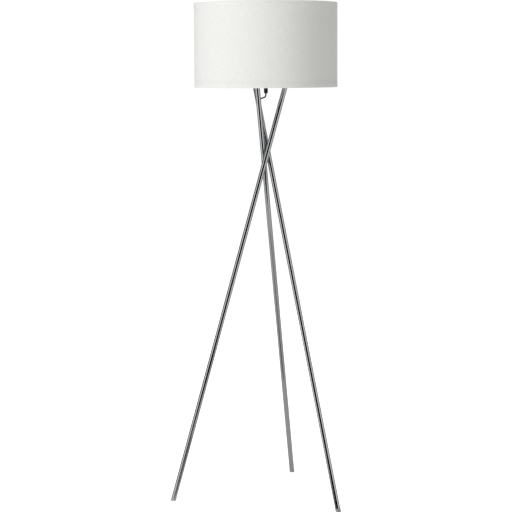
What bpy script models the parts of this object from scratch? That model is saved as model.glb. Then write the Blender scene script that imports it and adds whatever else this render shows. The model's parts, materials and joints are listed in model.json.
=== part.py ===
"""Tripod floor lamp.

Three straight steel tubes lean past each other like the rods of a twisted
bundle, touch at the waist and spread again to carry a bracket. The bracket
holds an E27 lampholder, and the lampholder's ring nut clamps a drum shade.
The lead runs from the lampholder through a cord grip, across to one leg, down
inside that leg and out at its foot, to a foot switch and a plug.

Units are metres, +Z is up. The origin is on the floor, under the centre of
the box around the lamp. The lead is left out of that box.
"""

import math

import bmesh
import bpy
from mathutils import Matrix, Vector
from mathutils.geometry import intersect_line_line

# Tripod
LEG_DIAMETER = 0.016
LEG_WALL = 0.001
LEG_SLOPE = 0.2835          # sideways run of a leg for each metre of height
WAIST_HEIGHT = 1.097        # where the three legs touch
BRACKET_BOTTOM = 1.324      # underside of the bracket that the leg tops carry
BRACKET_THICKNESS = 0.003
FOOT_CAP_HEIGHT = 0.0093    # of the cap below the tube, along the leg
FOOT_CAP_DIAMETER = 0.0166
FOOT_CAP_STEM = 0.022       # how far the cap reaches into the tube
INSERT_LENGTH = 0.022
INSERT_THREAD_DEPTH = 0.0105
SCREW_RADIUS = 0.0024       # of the M5 screws that hold the bracket
SCREW_HOLE_RADIUS = 0.0028
BRACKET_DISC_RADIUS = 0.022
BRACKET_ARM_HALF_WIDTH = 0.0095
LEGS = {"front_left": 210.0, "front_right": 330.0, "rear": 90.0}
CORD_LEG = "front_right"

# Shade
SHADE_DIAMETER = 0.450
SHADE_HEIGHT = 0.263
SHADE_BOTTOM = 1.307
FABRIC_THICKNESS = 0.0009
LINER_THICKNESS = 0.0007
WIRE_RADIUS = 0.0015
HEM_LIP = 0.0055            # how far the fabric turns in under a wire ring
ARM_AZIMUTHS = (30.0, 150.0, 270.0)

# Lead
CORD_DIAMETER = 0.0046      # two-core 0.5 mm2 round PVC lead
CORD_HOLE_RADIUS = 0.0026
BUSH_NECK_RADIUS = 0.0033   # of a grommet or bush, where it sits in its hole
BUSH_HOLE_RADIUS = 0.0036
BUSH_NECK_START = 0.0058    # from the leg's axis
GROMMET_HEIGHT = 1.266      # where the lead goes into the cord leg
GROMMET_FACE = 0.0095       # from the leg's axis to the grommet's outer face
OUTLET_HEIGHT = 0.0052      # of the lead where it leaves the foot
OUTLET_AZIMUTH = 285.0
OUTLET_BUSH_LENGTH = 0.026
OUTLET_BEND = 0.0052        # from the corner to either end of the lead's bend in the foot

# Coil, foot switch and plug on the floor
COIL_CENTRE = (0.200, -0.330)
COIL_OUTER_TURN = 0.0355    # radius of the outermost turn's centre line
COIL_INNER_TURN = 0.0197
COIL_BOTTOM = 0.0014
COIL_HEIGHT = 0.0100
SWITCH_CENTRE = (0.1325, -0.405)
SWITCH_LENGTH = 0.068
SWITCH_WIDTH = 0.036
SWITCH_PARTING = 0.0075     # height of the seam and of the lead through it
SWITCH_TOP = 0.0195
SWITCH_WALL = 0.0020
SWITCH_FLOOR = 0.0025       # height of the casing's inner floor
SWITCH_SCREWS = ((-0.0205, 0.0100), (0.0205, -0.0100))
BUTTON_RADIUS = 0.0115
BUTTON_BASE = 0.0152        # height of the button's underside at rest
PLUG_BACK = (0.1400, -0.359)
PLUG_TURN = -8.0            # of the plug about the upright, in degrees
PLUG_HEIGHT = 0.0085        # of the plug's axis over the floor
PLUG_LENGTH = 0.053         # of the body
PLUG_PIN_OFFSET = 0.0095    # half the distance between the pins
PLUG_PIN_RADIUS = 0.0020
PLUG_PIN_LENGTH = 0.0190

GAP = 0.0003                # between pieces that touch
CUT_THROUGH = 0.002         # how far a cutter runs past the face that it opens

# The flex below the grip, in the upright plane of the lamp's axis and the hole
# in the cord leg: distance out from the axis, height.
FLEX_ROUTE = [
    (0.0, 1.2877), (0.0003, 1.2845), (0.0016, 1.2808), (0.0044, 1.2776), (0.0087, 1.2755),
    (0.0145, 1.2744), (0.0207, 1.2734), (0.0270, 1.2719), (0.0332, 1.2703),
]
# The routes that the lead follows, as points on the floor plan with a height.
# The last straight stretch into the coil is a tangent of its outermost turn.
ROUTE_TO_SWITCH = [
    (0.2785, -0.2285, 0.0050), (0.2815, -0.2420, 0.0040), (0.2838, -0.2590, 0.0028),
    (0.2835, -0.2850, 0.0026), (0.2790, -0.3120, 0.0026), (0.2690, -0.3420, 0.0026),
    (0.2530, -0.3700, 0.0026), (0.2310, -0.3920, 0.0032), (0.2060, -0.4030, 0.0058),
    (0.1905, -0.4050, 0.0075),
]
ROUTE_TO_COIL = [
    (0.0745, -0.4050, 0.0075), (0.0600, -0.4020, 0.0058), (0.0430, -0.3920, 0.0032),
    (0.0300, -0.3740, 0.0026), (0.0255, -0.3510, 0.0026), (0.0290, -0.3280, 0.0026),
    (0.0420, -0.3090, 0.0026), (0.0620, -0.2985, 0.0026), (0.0860, -0.2950, 0.0028),
    (0.1200, -0.2945, 0.0036), (0.1500, -0.2945, 0.0038), (0.1800, -0.2945, 0.0038),
]
ROUTE_TO_PLUG = [
    (0.1800, -0.3655, 0.0086), (0.1690, -0.3650, 0.0086), (0.1580, -0.3624, 0.0085),
    (0.1490, -0.3603, 0.0085), (0.1404, -0.3591, 0.0085),
]

# Worked out from the above
LEG_RADIUS = LEG_DIAMETER / 2
BORE_RADIUS = LEG_RADIUS - LEG_WALL
LEG_TOP = BRACKET_BOTTOM - GAP
BRACKET_TOP = BRACKET_BOTTOM + BRACKET_THICKNESS
LEG_STRETCH = math.sqrt(1 + LEG_SLOPE ** 2)     # leg length for each metre of height
# The distance from the lamp's axis at which neighbouring legs just touch.
WAIST_OFFSET = (LEG_DIAMETER + GAP) * math.sqrt(3 + 0.75 * LEG_SLOPE ** 2) / 3
FOOT_RADIUS = LEG_SLOPE * WAIST_HEIGHT
SHADE_RADIUS = SHADE_DIAMETER / 2
SHADE_TOP = SHADE_BOTTOM + SHADE_HEIGHT
# The lamp's axis stands off the origin, because the feet and the shade reach
# different distances from it on opposite sides.
REAR_REACH = FOOT_RADIUS + FOOT_CAP_DIAMETER / 2 * LEG_STRETCH
AXIS = Vector((-WAIST_OFFSET / 2, (SHADE_RADIUS - REAR_REACH) / 2, 0.0))

ROUND = 24                  # sides of a small turned piece
MEDIUM = 16                 # sides of a bush or a pin
SMALL = 12                  # sides of a screw, a pin or a small hole
SHADE_SIDES = 60


# Scene and object helpers

def clear_scene():
    for item in list(bpy.data.objects):
        bpy.data.objects.remove(item, do_unlink=True)


def make_material(name, colour, roughness, metallic=0.0):
    material = bpy.data.materials.new(name)
    material.use_nodes = True
    shader = material.node_tree.nodes["Principled BSDF"]
    shader.inputs["Base Color"].default_value = (*colour, 1.0)
    shader.inputs["Roughness"].default_value = roughness
    shader.inputs["Metallic"].default_value = metallic
    material.diffuse_color = (*colour, 1.0)
    return material


def place(item, parent=None, matrix=None):
    """Put an object in the scene, at a matrix in its parent's frame."""
    bpy.context.scene.collection.objects.link(item)
    item.parent = parent
    if matrix is not None:
        item.matrix_local = matrix
    return item


def make_frame(name, parent=None, matrix=None):
    """An empty that carries the pieces placed in its frame."""
    frame = place(bpy.data.objects.new(name, None), parent, matrix)
    bpy.context.view_layer.update()
    return frame


def make_piece(name, mesh, material, parent=None, matrix=None, sharp_degrees=35.0):
    mesh.name = name
    if material is not None:
        mesh.materials.append(material)
    mesh.shade_smooth()
    mesh.set_sharp_from_angle(angle=math.radians(sharp_degrees))
    return place(bpy.data.objects.new(name, mesh), parent, matrix)


def make_cutter(name, mesh, parent=None, matrix=None):
    cutter = make_piece(name, mesh, None, parent, matrix)
    cutter.hide_render = True
    cutter.display_type = "WIRE"
    return cutter


def combine(piece, other, operation):
    modifier = piece.modifiers.new(other.name, "BOOLEAN")
    modifier.operation = operation
    modifier.solver = "EXACT"
    modifier.object = other


def cut(piece, *cutters):
    for cutter in cutters:
        combine(piece, cutter, "DIFFERENCE")


def weld(piece, *others):
    for other in others:
        combine(piece, other, "UNION")


# Mesh helpers

def skin(rings, closed=False):
    """A mesh over rings of points joined in order. One point alone is a tip.
    A closed one joins the last ring to the first, an open one has end faces."""
    mesh = bpy.data.meshes.new("skin")
    shape = bmesh.new()
    loops = [[shape.verts.new(point) for point in ring] for ring in rings]
    pairs = list(zip(loops, loops[1:]))
    if closed:
        pairs.append((loops[-1], loops[0]))
    for low, high in pairs:
        count = max(len(low), len(high))
        if count == 1:
            continue
        for i in range(count):
            j = (i + 1) % count
            corners = (low[i % len(low)], low[j % len(low)],
                       high[j % len(high)], high[i % len(high)])
            shape.faces.new(list(dict.fromkeys(corners)))
    if not closed:
        for loop in (loops[0], loops[-1]):
            if len(loop) > 2:
                shape.faces.new(loop)
    bmesh.ops.recalc_face_normals(shape, faces=shape.faces)
    shape.to_mesh(mesh)
    shape.free()
    return mesh


def circle(radius, height, sides=ROUND):
    if radius == 0:
        return [Vector((0, 0, height))]
    turns = [math.tau * i / sides for i in range(sides)]
    return [Vector((radius * math.cos(a), radius * math.sin(a), height)) for a in turns]


def turned(profile, sides=ROUND, closed=False):
    """A round shape about Z from (radius, height) points."""
    return skin([circle(radius, height, sides) for radius, height in profile], closed)


def rod(radius, low, high, sides=ROUND):
    return turned([(radius, low), (radius, high)], sides)


def pipe(outer, inner, low, high, sides=ROUND):
    return turned([(outer, low), (outer, high), (inner, high), (inner, low)], sides, True)


def slant_circle(radius, plane_point, plane_normal, sides=ROUND):
    """The circle of a round bar along Z, where a slanting plane cuts it."""
    ring = circle(radius, 0.0, sides)
    for point in ring:
        point.z = (plane_point - point).dot(plane_normal) / plane_normal.z
    return ring


def sweep(points, radius, sides=MEDIUM):
    """A round bar along a line of points."""
    rings = []
    side = Vector((0.0, 0.0, 1.0)).orthogonal()
    for i, point in enumerate(points):
        ahead = points[min(i + 1, len(points) - 1)] - points[max(i - 1, 0)]
        ahead.normalize()
        side = (side - ahead * side.dot(ahead)).normalized()
        other = ahead.cross(side)
        turns = [math.tau * k / sides for k in range(sides)]
        rings.append([point + (side * math.cos(a) + other * math.sin(a)) * radius for a in turns])
    return skin(rings)


def across(direction, origin=(0, 0, 0)):
    """A matrix whose Z axis runs along a direction."""
    turn = Vector(direction).to_track_quat("Z", "Y").to_matrix().to_4x4()
    return Matrix.Translation(Vector(origin)) @ turn


def along_x(origin, sign=1.0):
    return across((sign, 0.0, 0.0), origin)


def smooth_route(points, spacing):
    """Evenly spaced points on a smooth curve through a route's points."""
    knots = [Vector(point) for point in points]
    knots = [2 * knots[0] - knots[1], *knots, 2 * knots[-1] - knots[-2]]
    fine = []
    for before, start, end, after in zip(knots, knots[1:], knots[2:], knots[3:]):
        for step in range(16):
            t = step / 16
            fine.append(0.5 * ((2 * start) + (end - before) * t
                               + (2 * before - 5 * start + 4 * end - after) * t * t
                               + (3 * start - before - 3 * end + after) * t ** 3))
    fine.append(knots[-2])
    reach = [0.0]
    for a, b in zip(fine, fine[1:]):
        reach.append(reach[-1] + (b - a).length)
    count = max(2, round(reach[-1] / spacing))
    even, k = [], 0
    for i in range(count + 1):
        goal = reach[-1] * i / count
        while k < len(fine) - 2 and reach[k + 1] < goal:
            k += 1
        part = (goal - reach[k]) / (reach[k + 1] - reach[k])
        even.append(fine[k].lerp(fine[k + 1], min(1.0, part)))
    return even


def make_cord(name, points, material, parent=None):
    curve = bpy.data.curves.new(name, "CURVE")
    curve.dimensions = "3D"
    curve.bevel_depth = CORD_DIAMETER / 2
    curve.bevel_resolution = 2
    curve.use_fill_caps = True
    spline = curve.splines.new("POLY")
    spline.points.add(len(points) - 1)
    for target, point in zip(spline.points, points):
        target.co = (*point, 1.0)
    curve.materials.append(material)
    return place(bpy.data.objects.new(name, curve), parent)


# Tripod

def compass(azimuth):
    angle = math.radians(azimuth)
    return Vector((math.cos(angle), math.sin(angle), 0.0))


def leg_point(azimuth, height):
    """The point of a leg's centre line at a height, from the lamp's axis."""
    outward = compass(azimuth)
    sideways = compass(azimuth + 90)
    flat = sideways * WAIST_OFFSET + outward * LEG_SLOPE * (WAIST_HEIGHT - height)
    return flat + Vector((0, 0, height))


def leg_direction(azimuth):
    return (Vector((0, 0, 1)) - compass(azimuth) * LEG_SLOPE).normalized()


def leg_matrix(azimuth):
    """A leg's own frame: from its waist, Z up the leg, X level."""
    up = leg_direction(azimuth)
    level = compass(azimuth + 90)
    turn = Matrix((level, up.cross(level), up)).transposed().to_4x4()
    return Matrix.Translation(leg_point(azimuth, WAIST_HEIGHT)) @ turn


def level_plane(azimuth, height):
    """A level plane at a height as a point and a normal in a leg's frame."""
    to_leg = leg_matrix(azimuth).inverted()
    return to_leg @ leg_point(azimuth, height), to_leg.to_3x3() @ Vector((0, 0, 1))


def toward_axis(azimuth, height):
    """Square to the leg, as straight to the lamp's axis as that allows."""
    up = leg_direction(azimuth)
    inward = -leg_point(azimuth, height)
    inward.z = 0.0
    inward.normalize()
    return (inward - up * inward.dot(up)).normalized()


TUBE_END = -(WAIST_HEIGHT * LEG_STRETCH - FOOT_CAP_HEIGHT)


def make_leg(side, azimuth, lamp, looks):
    frame = make_frame("leg_frame_" + side, lamp, leg_matrix(azimuth))
    top = level_plane(azimuth, LEG_TOP)
    mesh = skin([circle(LEG_RADIUS, TUBE_END), slant_circle(LEG_RADIUS, *top),
                 slant_circle(BORE_RADIUS, *top), circle(BORE_RADIUS, TUBE_END)], closed=True)
    tube = make_piece("leg_" + side, mesh, looks["chrome"], frame)
    make_leg_insert(side, azimuth, frame, lamp, looks)
    make_foot_cap(side, azimuth, frame, looks)
    return tube


def make_leg_insert(side, azimuth, frame, lamp, looks):
    """The threaded slug in a leg's top, flush with it."""
    point, normal = level_plane(azimuth, LEG_TOP)
    radius = BORE_RADIUS - GAP
    mesh = skin([circle(radius, point.z - INSERT_LENGTH), slant_circle(radius, point, normal)])
    insert = make_piece("leg_insert_" + side, mesh, looks["zinc"], frame)
    top = Matrix.Translation(leg_point(azimuth, LEG_TOP))
    hole = rod(SCREW_HOLE_RADIUS, -INSERT_THREAD_DEPTH, CUT_THROUGH, SMALL)
    cut(insert, make_cutter("insert_hole_" + side, hole, lamp, top))


def make_foot_cap(side, azimuth, frame, looks):
    """A plastic cap: a stem in the tube, and a rim that is level underneath."""
    floor = level_plane(azimuth, 0.0)
    rim, stem, bevel = FOOT_CAP_DIAMETER / 2, BORE_RADIUS - GAP, 0.001
    mesh = skin([slant_circle(rim, *floor), circle(rim, TUBE_END - GAP),
                 circle(stem, TUBE_END - GAP), circle(stem, TUBE_END + FOOT_CAP_STEM - bevel),
                 circle(stem - bevel, TUBE_END + FOOT_CAP_STEM)])
    cap = make_piece("foot_cap_" + side, mesh, looks["cap"], frame)
    if side == CORD_LEG:
        to_leg = leg_matrix(azimuth).inverted()
        channel = [to_leg @ point for point in outlet_points(0.004)]
        cut(cap, make_cutter("outlet_channel", sweep(channel, CORD_HOLE_RADIUS + 0.0001), frame))
        seat = to_leg @ across(compass(OUTLET_AZIMUTH), outlet_corner())
        hole = rod(BUSH_HOLE_RADIUS, BUSH_NECK_START - 0.0004, FOOT_CAP_DIAMETER, MEDIUM)
        cut(cap, make_cutter("outlet_seat", hole, frame, seat))


def outlet_corner():
    """Where the cord leg's centre line comes down to the outlet's height."""
    return leg_point(LEGS[CORD_LEG], OUTLET_HEIGHT)


def outlet_points(reach):
    """The lead's centre line down the foot of the leg, round its bend and out."""
    down = -leg_direction(LEGS[CORD_LEG])
    out = compass(OUTLET_AZIMUTH)
    corner = outlet_corner()
    start, end = corner - down * OUTLET_BEND, corner + out * OUTLET_BEND
    arc = []
    for step in range(9):
        t = step / 8
        arc.append(start.lerp(corner, t).lerp(corner.lerp(end, t), t))
    return [corner - down * 0.040, corner - down * 0.015, *arc, end + out * reach]


def make_rivet(first, second, legs, lamp, looks):
    """The hidden rivet through the walls of two legs where they touch."""
    lines = [(leg_point(LEGS[side], WAIST_HEIGHT), leg_direction(LEGS[side]))
             for side in (first, second)]
    ends = [point for start, way in lines for point in (start, start + way)]
    near_first, near_second = intersect_line_line(*ends)
    matrix = across(near_second - near_first, (near_first + near_second) / 2)
    shank, head, inner, outer = 0.0015, 0.0023, 0.00185, 0.00285
    profile = [(0, -outer), (head, -outer), (head, -inner), (shank, -inner),
               (shank, inner), (head, inner), (head, outer), (0, outer)]
    name = "waist_rivet_" + first + "_" + second
    make_piece(name, turned(profile, SMALL), looks["steel"], lamp, matrix)
    hole = make_cutter("hole_of_" + name, rod(shank + GAP, -0.003, 0.003, SMALL), lamp, matrix)
    for side in (first, second):
        cut(legs[side], hole)


def make_tripod(lamp, looks):
    legs = {side: make_leg(side, azimuth, lamp, looks) for side, azimuth in LEGS.items()}
    names = list(LEGS)
    for first, second in zip(names, names[1:] + names[:1]):
        make_rivet(first, second, legs, lamp, looks)
    azimuth = LEGS[CORD_LEG]
    inward = toward_axis(azimuth, GROMMET_HEIGHT)
    matrix = across(inward, leg_point(azimuth, GROMMET_HEIGHT))
    hole = rod(BUSH_HOLE_RADIUS, BORE_RADIUS / 2, LEG_RADIUS + CUT_THROUGH, MEDIUM)
    cut(legs[CORD_LEG], make_cutter("grommet_hole", hole, lamp, matrix))
    neck, flange, seat, round_off = BUSH_NECK_RADIUS, 0.0046, LEG_RADIUS + GAP, 0.0004
    profile = [(CORD_HOLE_RADIUS, BUSH_NECK_START), (neck, BUSH_NECK_START), (neck, seat),
               (flange, seat), (flange, GROMMET_FACE - round_off),
               (flange - round_off, GROMMET_FACE), (CORD_HOLE_RADIUS, GROMMET_FACE)]
    make_piece("leg_grommet", turned(profile, MEDIUM, True), looks["rubber"], lamp, matrix)


def bracket_outline(height):
    """A disc with three round-ended arms, one to each leg top."""
    ring = []
    for azimuth in LEGS.values():
        end = leg_point(azimuth, LEG_TOP)
        heading = math.degrees(math.atan2(end.y, end.x))
        for step in range(9):
            corner = compass(heading - 90 + step * 22.5) * BRACKET_ARM_HALF_WIDTH
            ring.append(Vector((end.x, end.y, 0)) + corner)
        for turn in (38, 60, 82):
            ring.append(compass(heading + turn) * BRACKET_DISC_RADIUS)
    return [point + Vector((0, 0, height)) for point in ring]


def make_bracket(lamp, looks):
    plate = make_piece("top_bracket", skin([bracket_outline(BRACKET_BOTTOM),
                                            bracket_outline(BRACKET_TOP)]), looks["zinc"], lamp)
    through = (BRACKET_BOTTOM - CUT_THROUGH, BRACKET_TOP + CUT_THROUGH)
    cut(plate, make_cutter("bracket_hole", rod(NIPPLE_RADIUS + GAP, *through), lamp))
    low = BRACKET_TOP + GAP
    end, shank, head, socket = low - 0.0125, SCREW_RADIUS, 0.0045, 0.0016
    profile = [(0, end), (shank - 0.0005, end), (shank, end + 0.0007), (shank, low),
               (head, low), (head, low + 0.0012), (head - 0.0009, low + 0.0026),
               (socket, low + 0.0026), (socket, low + 0.0011), (0, low + 0.0011)]
    for side, azimuth in LEGS.items():
        end = leg_point(azimuth, LEG_TOP)
        spot = Matrix.Translation((end.x, end.y, 0))
        make_piece("bracket_screw_" + side, turned(profile, SMALL), looks["steel"], lamp, spot)
        hole = rod(SCREW_HOLE_RADIUS, *through, SMALL)
        cut(plate, make_cutter("bracket_hole_" + side, hole, lamp, spot))


# Lampholder

GRIP_BOTTOM = 1.288
GRIP_RADIUS = 0.0063
GRIP_SOCKET = 0.0205        # depth of cord hole below the threaded tube's socket
NIPPLE_RADIUS = 0.005       # M10 threaded tube
NIPPLE_BORE_RADIUS = 0.0035
NUT_HALF_WIDTH = 0.0085     # across the flats of the bracket nut
NUT_TOP = BRACKET_TOP + GAP + 0.004
HOLDER_BOTTOM = NUT_TOP + GAP
HOLDER_SEAM = HOLDER_BOTTOM + 0.014
FITTER_SEAT = HOLDER_SEAM + 0.0122      # top of the shoulder that the shade stands on
FITTER_THICKNESS = 0.0015
HOLDER_TOP = HOLDER_SEAM + 0.0404
HOLDER_RADIUS = 0.0188
HOLDER_THREAD_RADIUS = 0.0192           # of the outside that the ring nut runs on
HOLDER_MOUTH_RADIUS = 0.0152
INSULATOR_RADIUS = 0.0166
E27_RADIUS = 0.0125                     # of the bulb's cap between its thread ridges
THREAD_PITCH = 0.0040
THREAD_RIDGES = 3
TERMINAL_OFFSET = 0.009                 # of a terminal screw from the lamp's axis
SHELL_BOTTOM = HOLDER_SEAM + 0.0155
CONTACT_TOP = HOLDER_SEAM + 0.0158


def make_cord_grip(lamp, looks):
    outer, socket, mouth = GRIP_RADIUS, NIPPLE_RADIUS + GAP, GRIP_BOTTOM + GRIP_SOCKET
    profile = [(outer, LEG_TOP), (outer, GRIP_BOTTOM + 0.0045), (outer - 0.0009, GRIP_BOTTOM),
               (CORD_HOLE_RADIUS, GRIP_BOTTOM), (CORD_HOLE_RADIUS, mouth), (socket, mouth),
               (socket, LEG_TOP)]
    make_piece("cord_grip", turned(profile, closed=True), looks["black"], lamp)


def make_threaded_tube(lamp, looks):
    low, high = GRIP_BOTTOM + GRIP_SOCKET + GAP, HOLDER_BOTTOM + 0.0110
    make_piece("threaded_tube", pipe(NIPPLE_RADIUS, NIPPLE_BORE_RADIUS, low, high), looks["zinc"], lamp)
    step, hexagon = 360 // ROUND, []
    for heading in range(0, 360, step):
        from_flat = heading % 60 - 30
        hexagon.append(compass(heading) * NUT_HALF_WIDTH / math.cos(math.radians(from_flat)))
    low = BRACKET_TOP + GAP
    rings = [[point + Vector((0, 0, z)) for point in hexagon] for z in (low, NUT_TOP)]
    rings += [circle(NIPPLE_RADIUS + GAP, z) for z in (NUT_TOP, low)]
    make_piece("bracket_nut", skin(rings, closed=True), looks["steel"], lamp)


def make_holder_casing(lamp, looks):
    low, seam, outer, wall = HOLDER_BOTTOM, HOLDER_SEAM - GAP, HOLDER_RADIUS, 0.0025
    profile = [(NIPPLE_RADIUS + GAP, low), (0.0115, low), (0.0168, low + 0.0052),
               (outer, low + 0.0115), (outer, seam), (outer - 0.0020, seam),
               (outer - 0.0021, low + 0.0120), (0.0150, low + 0.0066), (0.0105, low + wall),
               (NIPPLE_RADIUS + GAP, low + wall)]
    make_piece("holder_cap", turned(profile, closed=True), looks["black"], lamp)
    seat, thread, mouth = FITTER_SEAT, HOLDER_THREAD_RADIUS, HOLDER_MOUTH_RADIUS
    shoulder, inner, step = 0.0240, INSULATOR_RADIUS + 0.0004, HOLDER_SEAM + 0.0143
    profile = [(inner, HOLDER_SEAM), (outer, HOLDER_SEAM), (outer, seat - 0.0034),
               (shoulder, seat - 0.0019), (shoulder, seat), (thread, seat)]
    for ridge in range(THREAD_RIDGES):
        start = seat + 0.0125 + ridge * THREAD_PITCH
        profile += [(thread, start), (thread + 0.0007, start + THREAD_PITCH / 2)]
    profile += [(thread - 0.0002, HOLDER_TOP), (mouth, HOLDER_TOP), (mouth, step), (inner, step)]
    make_piece("holder_body", turned(profile, closed=True), looks["black"], lamp)


def thread_ridges(radius, depth, start):
    """The profile of a few thread ridges as plain rings."""
    ridges = []
    for ridge in range(THREAD_RIDGES):
        foot = start + ridge * THREAD_PITCH
        ridges += [(radius, foot), (radius + depth, foot + 0.0018)]
    return ridges


def shell(outside, wall):
    """A closed profile: an outside, and the same line one wall further in."""
    return outside + [(radius - wall, height) for radius, height in reversed(outside)]


def make_holder_inside(lamp, looks):
    low, high = HOLDER_SEAM + 0.0038, HOLDER_SEAM + 0.0140
    block = make_piece("holder_insulator", rod(INSULATOR_RADIUS, low, high), looks["ceramic"], lamp)
    for number, side in enumerate((-1, 1), 1):
        spot = Matrix.Translation((side * TERMINAL_OFFSET, 0, low))
        shank, head, depth = 0.0015, 0.0024, 0.0060
        hole = rod(shank + GAP, -CUT_THROUGH, depth + 0.0008, SMALL)
        cut(block, make_cutter(f"terminal_hole_{number}", hole, lamp, spot))
        profile = [(0, -0.0019), (head, -0.0019), (head, -GAP), (shank, -GAP),
                   (shank, depth), (0, depth)]
        make_piece(f"terminal_screw_{number}", turned(profile, SMALL), looks["brass"], lamp, spot)
    low, high, radius = SHELL_BOTTOM, HOLDER_TOP - 0.0020, E27_RADIUS + 0.0016
    bumps = thread_ridges(radius, 0.0004, low + 0.0050)
    outside = [(radius, low), *bumps, (radius, high - 0.0012), (radius + 0.0005, high)]
    make_piece("screw_shell", turned(shell(outside, 0.0005), MEDIUM, True), looks["brass"], lamp)
    base, top, sheet = CONTACT_TOP - 0.0014, CONTACT_TOP, 0.0004
    upper = [(-0.009, base + sheet), (-0.004, base + sheet), (-0.001, top), (0.002, top),
             (0.0055, base + sheet)]
    lower = [(x, z - sheet) for x, z in reversed(upper)]
    rings = [[Vector((x, y, z)) for x, z in upper + lower] for y in (-0.003, 0.003)]
    make_piece("centre_contact", skin(rings), looks["brass"], lamp)


def make_bulb(lamp, looks):
    tip = CONTACT_TOP + GAP
    profile = [(0, tip), (0.0030, tip + 0.0004), (0.0044, tip + 0.0016), (0, tip + 0.0016)]
    make_piece("bulb_contact", turned(profile, MEDIUM), looks["steel"], lamp)
    low = tip + 0.0019
    profile = [(0, low), (0.0048, low), (0.0106, low + 0.0034), (0.0106, low + 0.0042),
               (0, low + 0.0042)]
    make_piece("bulb_insulator", turned(profile, MEDIUM), looks["black"], lamp)
    low, high = low + 0.0045, tip + 0.0266
    bumps = thread_ridges(E27_RADIUS, 0.0005, low + 0.0035)
    outside = [(E27_RADIUS - 0.0015, low), *bumps, (E27_RADIUS, high - 0.0028),
               (E27_RADIUS + 0.0006, high)]
    make_piece("bulb_cap", turned(shell(outside, 0.0006), MEDIUM, True), looks["steel"], lamp)
    low, seam = high + GAP, tip + 0.0690
    outside = [(0.0130, low), (0.0140, low + 0.006), (0.0185, low + 0.018),
               (0.0250, low + 0.033), (0.0280, seam)]
    make_piece("bulb_body", turned(shell(outside, 0.0016), closed=True), looks["white"], lamp)
    centre, radius, wall = seam + 0.0100, 0.0300, 0.0012
    start = math.asin((seam + GAP - centre) / radius)
    turns = [start + (math.pi / 2 - start) * i / 6 for i in range(7)]
    dome = [(radius * math.cos(a), centre + radius * math.sin(a)) for a in turns]
    hollow = [((radius - wall) * math.cos(a), centre + (radius - wall) * math.sin(a))
              for a in reversed(turns)]
    dome[-1], hollow[0] = (0, centre + radius), (0, centre + radius - wall)
    hollow[-1] = (hollow[-1][0], dome[0][1])
    make_piece("bulb_diffuser", turned(dome + hollow, closed=True), looks["white"], lamp)


# Shade

LINER_OUTER = SHADE_RADIUS - FABRIC_THICKNESS - GAP
RING_RADIUS = LINER_OUTER - LINER_THICKNESS - GAP - WIRE_RADIUS
LIP = 0.0006
RING_LOW = SHADE_BOTTOM + LIP + GAP + WIRE_RADIUS
RING_HIGH = SHADE_TOP - LIP - GAP - WIRE_RADIUS


def wire_ring(height):
    corners = [math.tau * (k + 0.5) / 6 for k in range(6)]
    profile = [(RING_RADIUS + WIRE_RADIUS * math.cos(a), height + WIRE_RADIUS * math.sin(a))
               for a in corners]
    return turned(profile, SHADE_SIDES, True)


def make_shade_frame(lamp, looks):
    low, outer, inner = FITTER_SEAT + GAP, 0.0270, HOLDER_THREAD_RADIUS + 0.0014
    hub = pipe(outer, inner, low, low + FITTER_THICKNESS)
    fitter = make_piece("shade_fitter", hub, looks["white_wire"], lamp)
    ring = make_cutter("lower_ring", wire_ring(RING_LOW), lamp)
    weld(fitter, ring)
    for number, azimuth in enumerate(ARM_AZIMUTHS, 1):
        way = compass(azimuth)
        start = way * (outer - 0.0018) + Vector((0, 0, low - 0.0004))
        end = way * RING_RADIUS + Vector((0, 0, RING_LOW))
        arm = rod(WIRE_RADIUS * 0.96, 0.0, (end - start).length, 10)
        weld(fitter, make_cutter(f"arm_{number}", arm, lamp, across(end - start, start)))
    make_piece("shade_top_ring", wire_ring(RING_HIGH), looks["white_wire"], lamp)
    low += FITTER_THICKNESS + GAP
    inner, rim, high = HOLDER_THREAD_RADIUS + 0.0010, outer + 0.0006, low + 0.0098
    profile = [(inner, low), (outer, low), (rim, low + 0.0010), (rim, low + 0.0050),
               (outer - 0.0015, high), (inner, high)]
    make_piece("shade_ring_nut", turned(profile, closed=True), looks["black"], lamp)


def make_shade_skins(lamp, looks):
    low, high = SHADE_BOTTOM, SHADE_TOP
    liner = pipe(LINER_OUTER, LINER_OUTER - LINER_THICKNESS, low + LIP + GAP, high - LIP - GAP,
                 SHADE_SIDES)
    make_piece("shade_liner", liner, looks["liner"], lamp)
    inner, lip = SHADE_RADIUS - FABRIC_THICKNESS, SHADE_RADIUS - HEM_LIP
    profile = [(SHADE_RADIUS, low), (SHADE_RADIUS, high), (lip, high), (lip, high - LIP),
               (inner, high - LIP), (inner, low + LIP), (lip, low + LIP), (lip, low)]
    make_piece("shade_fabric", turned(profile, SHADE_SIDES, True), looks["fabric"], lamp)


# Lead

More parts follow.
